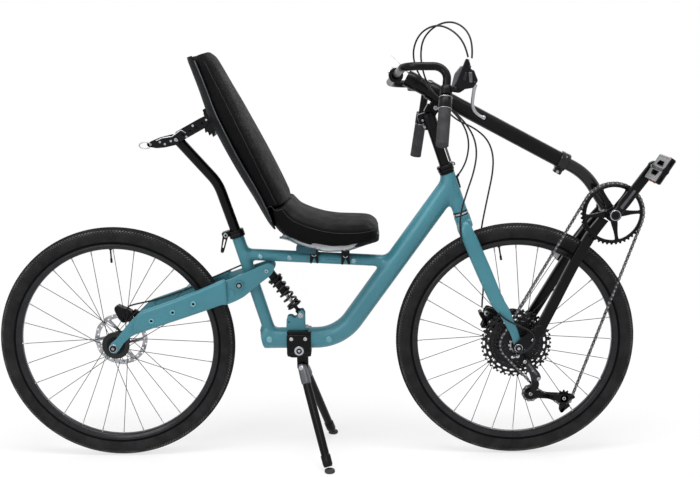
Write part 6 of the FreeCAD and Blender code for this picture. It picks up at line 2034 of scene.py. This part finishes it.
fold = smooth_rows(FOLD_LINE, FOLD_POINTS)
back_edge = [(row[2], row[3] - 3) for row in BACK_ROWS[1:-1]]
base_edge = [(row[2], row[3]) for row in BASE_ROWS]
for side in SIDES:
    word = WORDS[side]
    route = np.stack((fold[:, 0], np.full(FOLD_POINTS, side * FOLD_SIDE), fold[:, 1]), -1)
    stitched("fold_stitching_" + word, route, back_pad, base_pad)
    stitched("back_edge_stitching_" + word, edge_route(side, BACK_ROWS, back_edge, 1, 6, 4),
             back_pad)
    stitched("base_edge_stitching_" + word, edge_route(side, BASE_ROWS, base_edge, 0, 1, 8),
             base_pad)

# ---------------- seat clamps

RAIL_SLOPE = 3.3                                   # degrees, as the top tube's
CLAMP_PLACES = ((592.6, 620.5), (683.8, 616.0))    # x, z of each clamp's bolt

clamps = Piece("seat_clamps_detailed")
# the block under the pan is in the darker teal: painted shade
clamps.add(box((58, 60, 21), (570, 0, 633), RAIL_SLOPE, corner=3), TEAL_SHADED)
for x, z in CLAMP_PLACES:
    clamps.add(box((24, 58, 16), (x, 0, z + 6), RAIL_SLOPE, corner=4), BLACK_ALLOY)
    for lean in (-1, 1):
        prong = hull((x + lean * 4.5, z), 6.5, (x + lean * 9.5, z - 25), 3.4, 8)
        clamps.plates(prong, 19.4, 26.4, BLACK_ALLOY, bevel=1.2)
    clamps.washers((x, 26.2, z), 7.6, 4, 1.2)
    clamps.bolts((x, 26.6, z), 5.4, 3.2, finish=BLACK_ALLOY)
clamps.made("frame", "black_alloy", "seat_clamps")

# ---------------- recline bracket

# straight plates with rivets: one from the seat to the post, one out to the wire loop
SEAT_PLATE = ((198, 964), (206, 979), (277.4, 1017.3), (300, 1026), (308, 1012),
              (290.4, 989), (217.4, 950), (203, 948))
LOOP_PLATE = ((124, 938), (122, 948), (152, 960), (190, 969), (212, 960), (216, 944),
              (174, 935), (150, 933))
SEAT_HOLES = ((226, 970), (247, 980), (265, 990), (283, 1002))
RIVETS = ((133, 944), (160.2, 950.7), (174.2, 944.8), (191.8, 953.2), (209, 955),
          (295, 1012), (237, 965), (256, 996))
PIN_LINE, LOOP_PIN_LINE = ((206, -28, 957), (206, 28, 957)), ((128, -26, 943), (128, 26, 943))
LOOP_MIDDLE, LOOP_SIZE, LOOP_POINTS = (118, -27.5, 942), (17, 9), 28
LOOP_START, LOOP_END = math.radians(35), math.radians(325)
LINK_WIRE = ((150, -28.5, 955), (170, -28.5, 963), (196, -28.5, 966), (222, -28.5, 985),
             (236, -28.5, 976))
SPRING_SIDES, SPRING_TURNS, SMALL_RADIUS = (-12, 12), 10, 5
HOOKS = ((286, 1030), (300, 1036), (312, 1016), (318, 996), (317, 966), (311, 962),
         (308, 974), (301, 966), (297, 978), (290, 974), (288, 988), (296, 1000))
RACK = ((284, 1040), (300, 1048), (310, 1020), (296, 1008))


def wire_loop():
    turn = np.linspace(LOOP_START, LOOP_END, LOOP_POINTS)
    x, y, z = LOOP_MIDDLE
    return np.stack((x + LOOP_SIZE[0] * np.cos(turn), np.full(LOOP_POINTS, y),
                     z + LOOP_SIZE[1] * np.sin(turn)), -1)


def return_spring(y):
    """A small tension spring from the loop's end of the bracket towards the seat."""
    turn = np.linspace(0, FULL_TURN * SPRING_TURNS, 240)
    share = turn / turn[-1]
    return np.stack((140 + 60 * share, y + SMALL_RADIUS * np.cos(turn),
                     946 + 9 * share + SMALL_RADIUS * np.sin(turn)), -1)


recline = Piece("recline_bracket_detailed")
recline.plates(rounded(SEAT_PLATE, 5), 20, 23, BLACK_ALLOY,
               [circle(3.2, spot, 14) for spot in SEAT_HOLES], 0.6)
recline.plates(rounded(LOOP_PLATE, 5), 23.2, 26, BLACK_ALLOY, bevel=0.6)
for x, z in RIVETS:
    recline.bolts((x, 22.6, z), 3.6, 4.6, 0.3)
recline.add(sweep(straight(*PIN_LINE), 5, 20), STEEL)
recline.add(sweep(straight(*LOOP_PIN_LINE), 3.5, 20), STEEL)
recline.add(sweep(wire_loop(), 1.8, 12), SILVER)
recline.add(sweep(bent(LINK_WIRE, (6,) * 5), 1.5, 10), SILVER)
for y in SPRING_SIDES:
    recline.add(sweep(return_spring(y), 1.0, 8), SILVER)
recline.add(prism(rounded(HOOKS, 2), -19, 19, bevel=0.8), BLACK_ALLOY)
recline.add(prism(rounded(RACK, 3), -20, 20, bevel=1.0), BLACK_ALLOY)
recline.made("frame", "black_alloy", "recline_bracket")
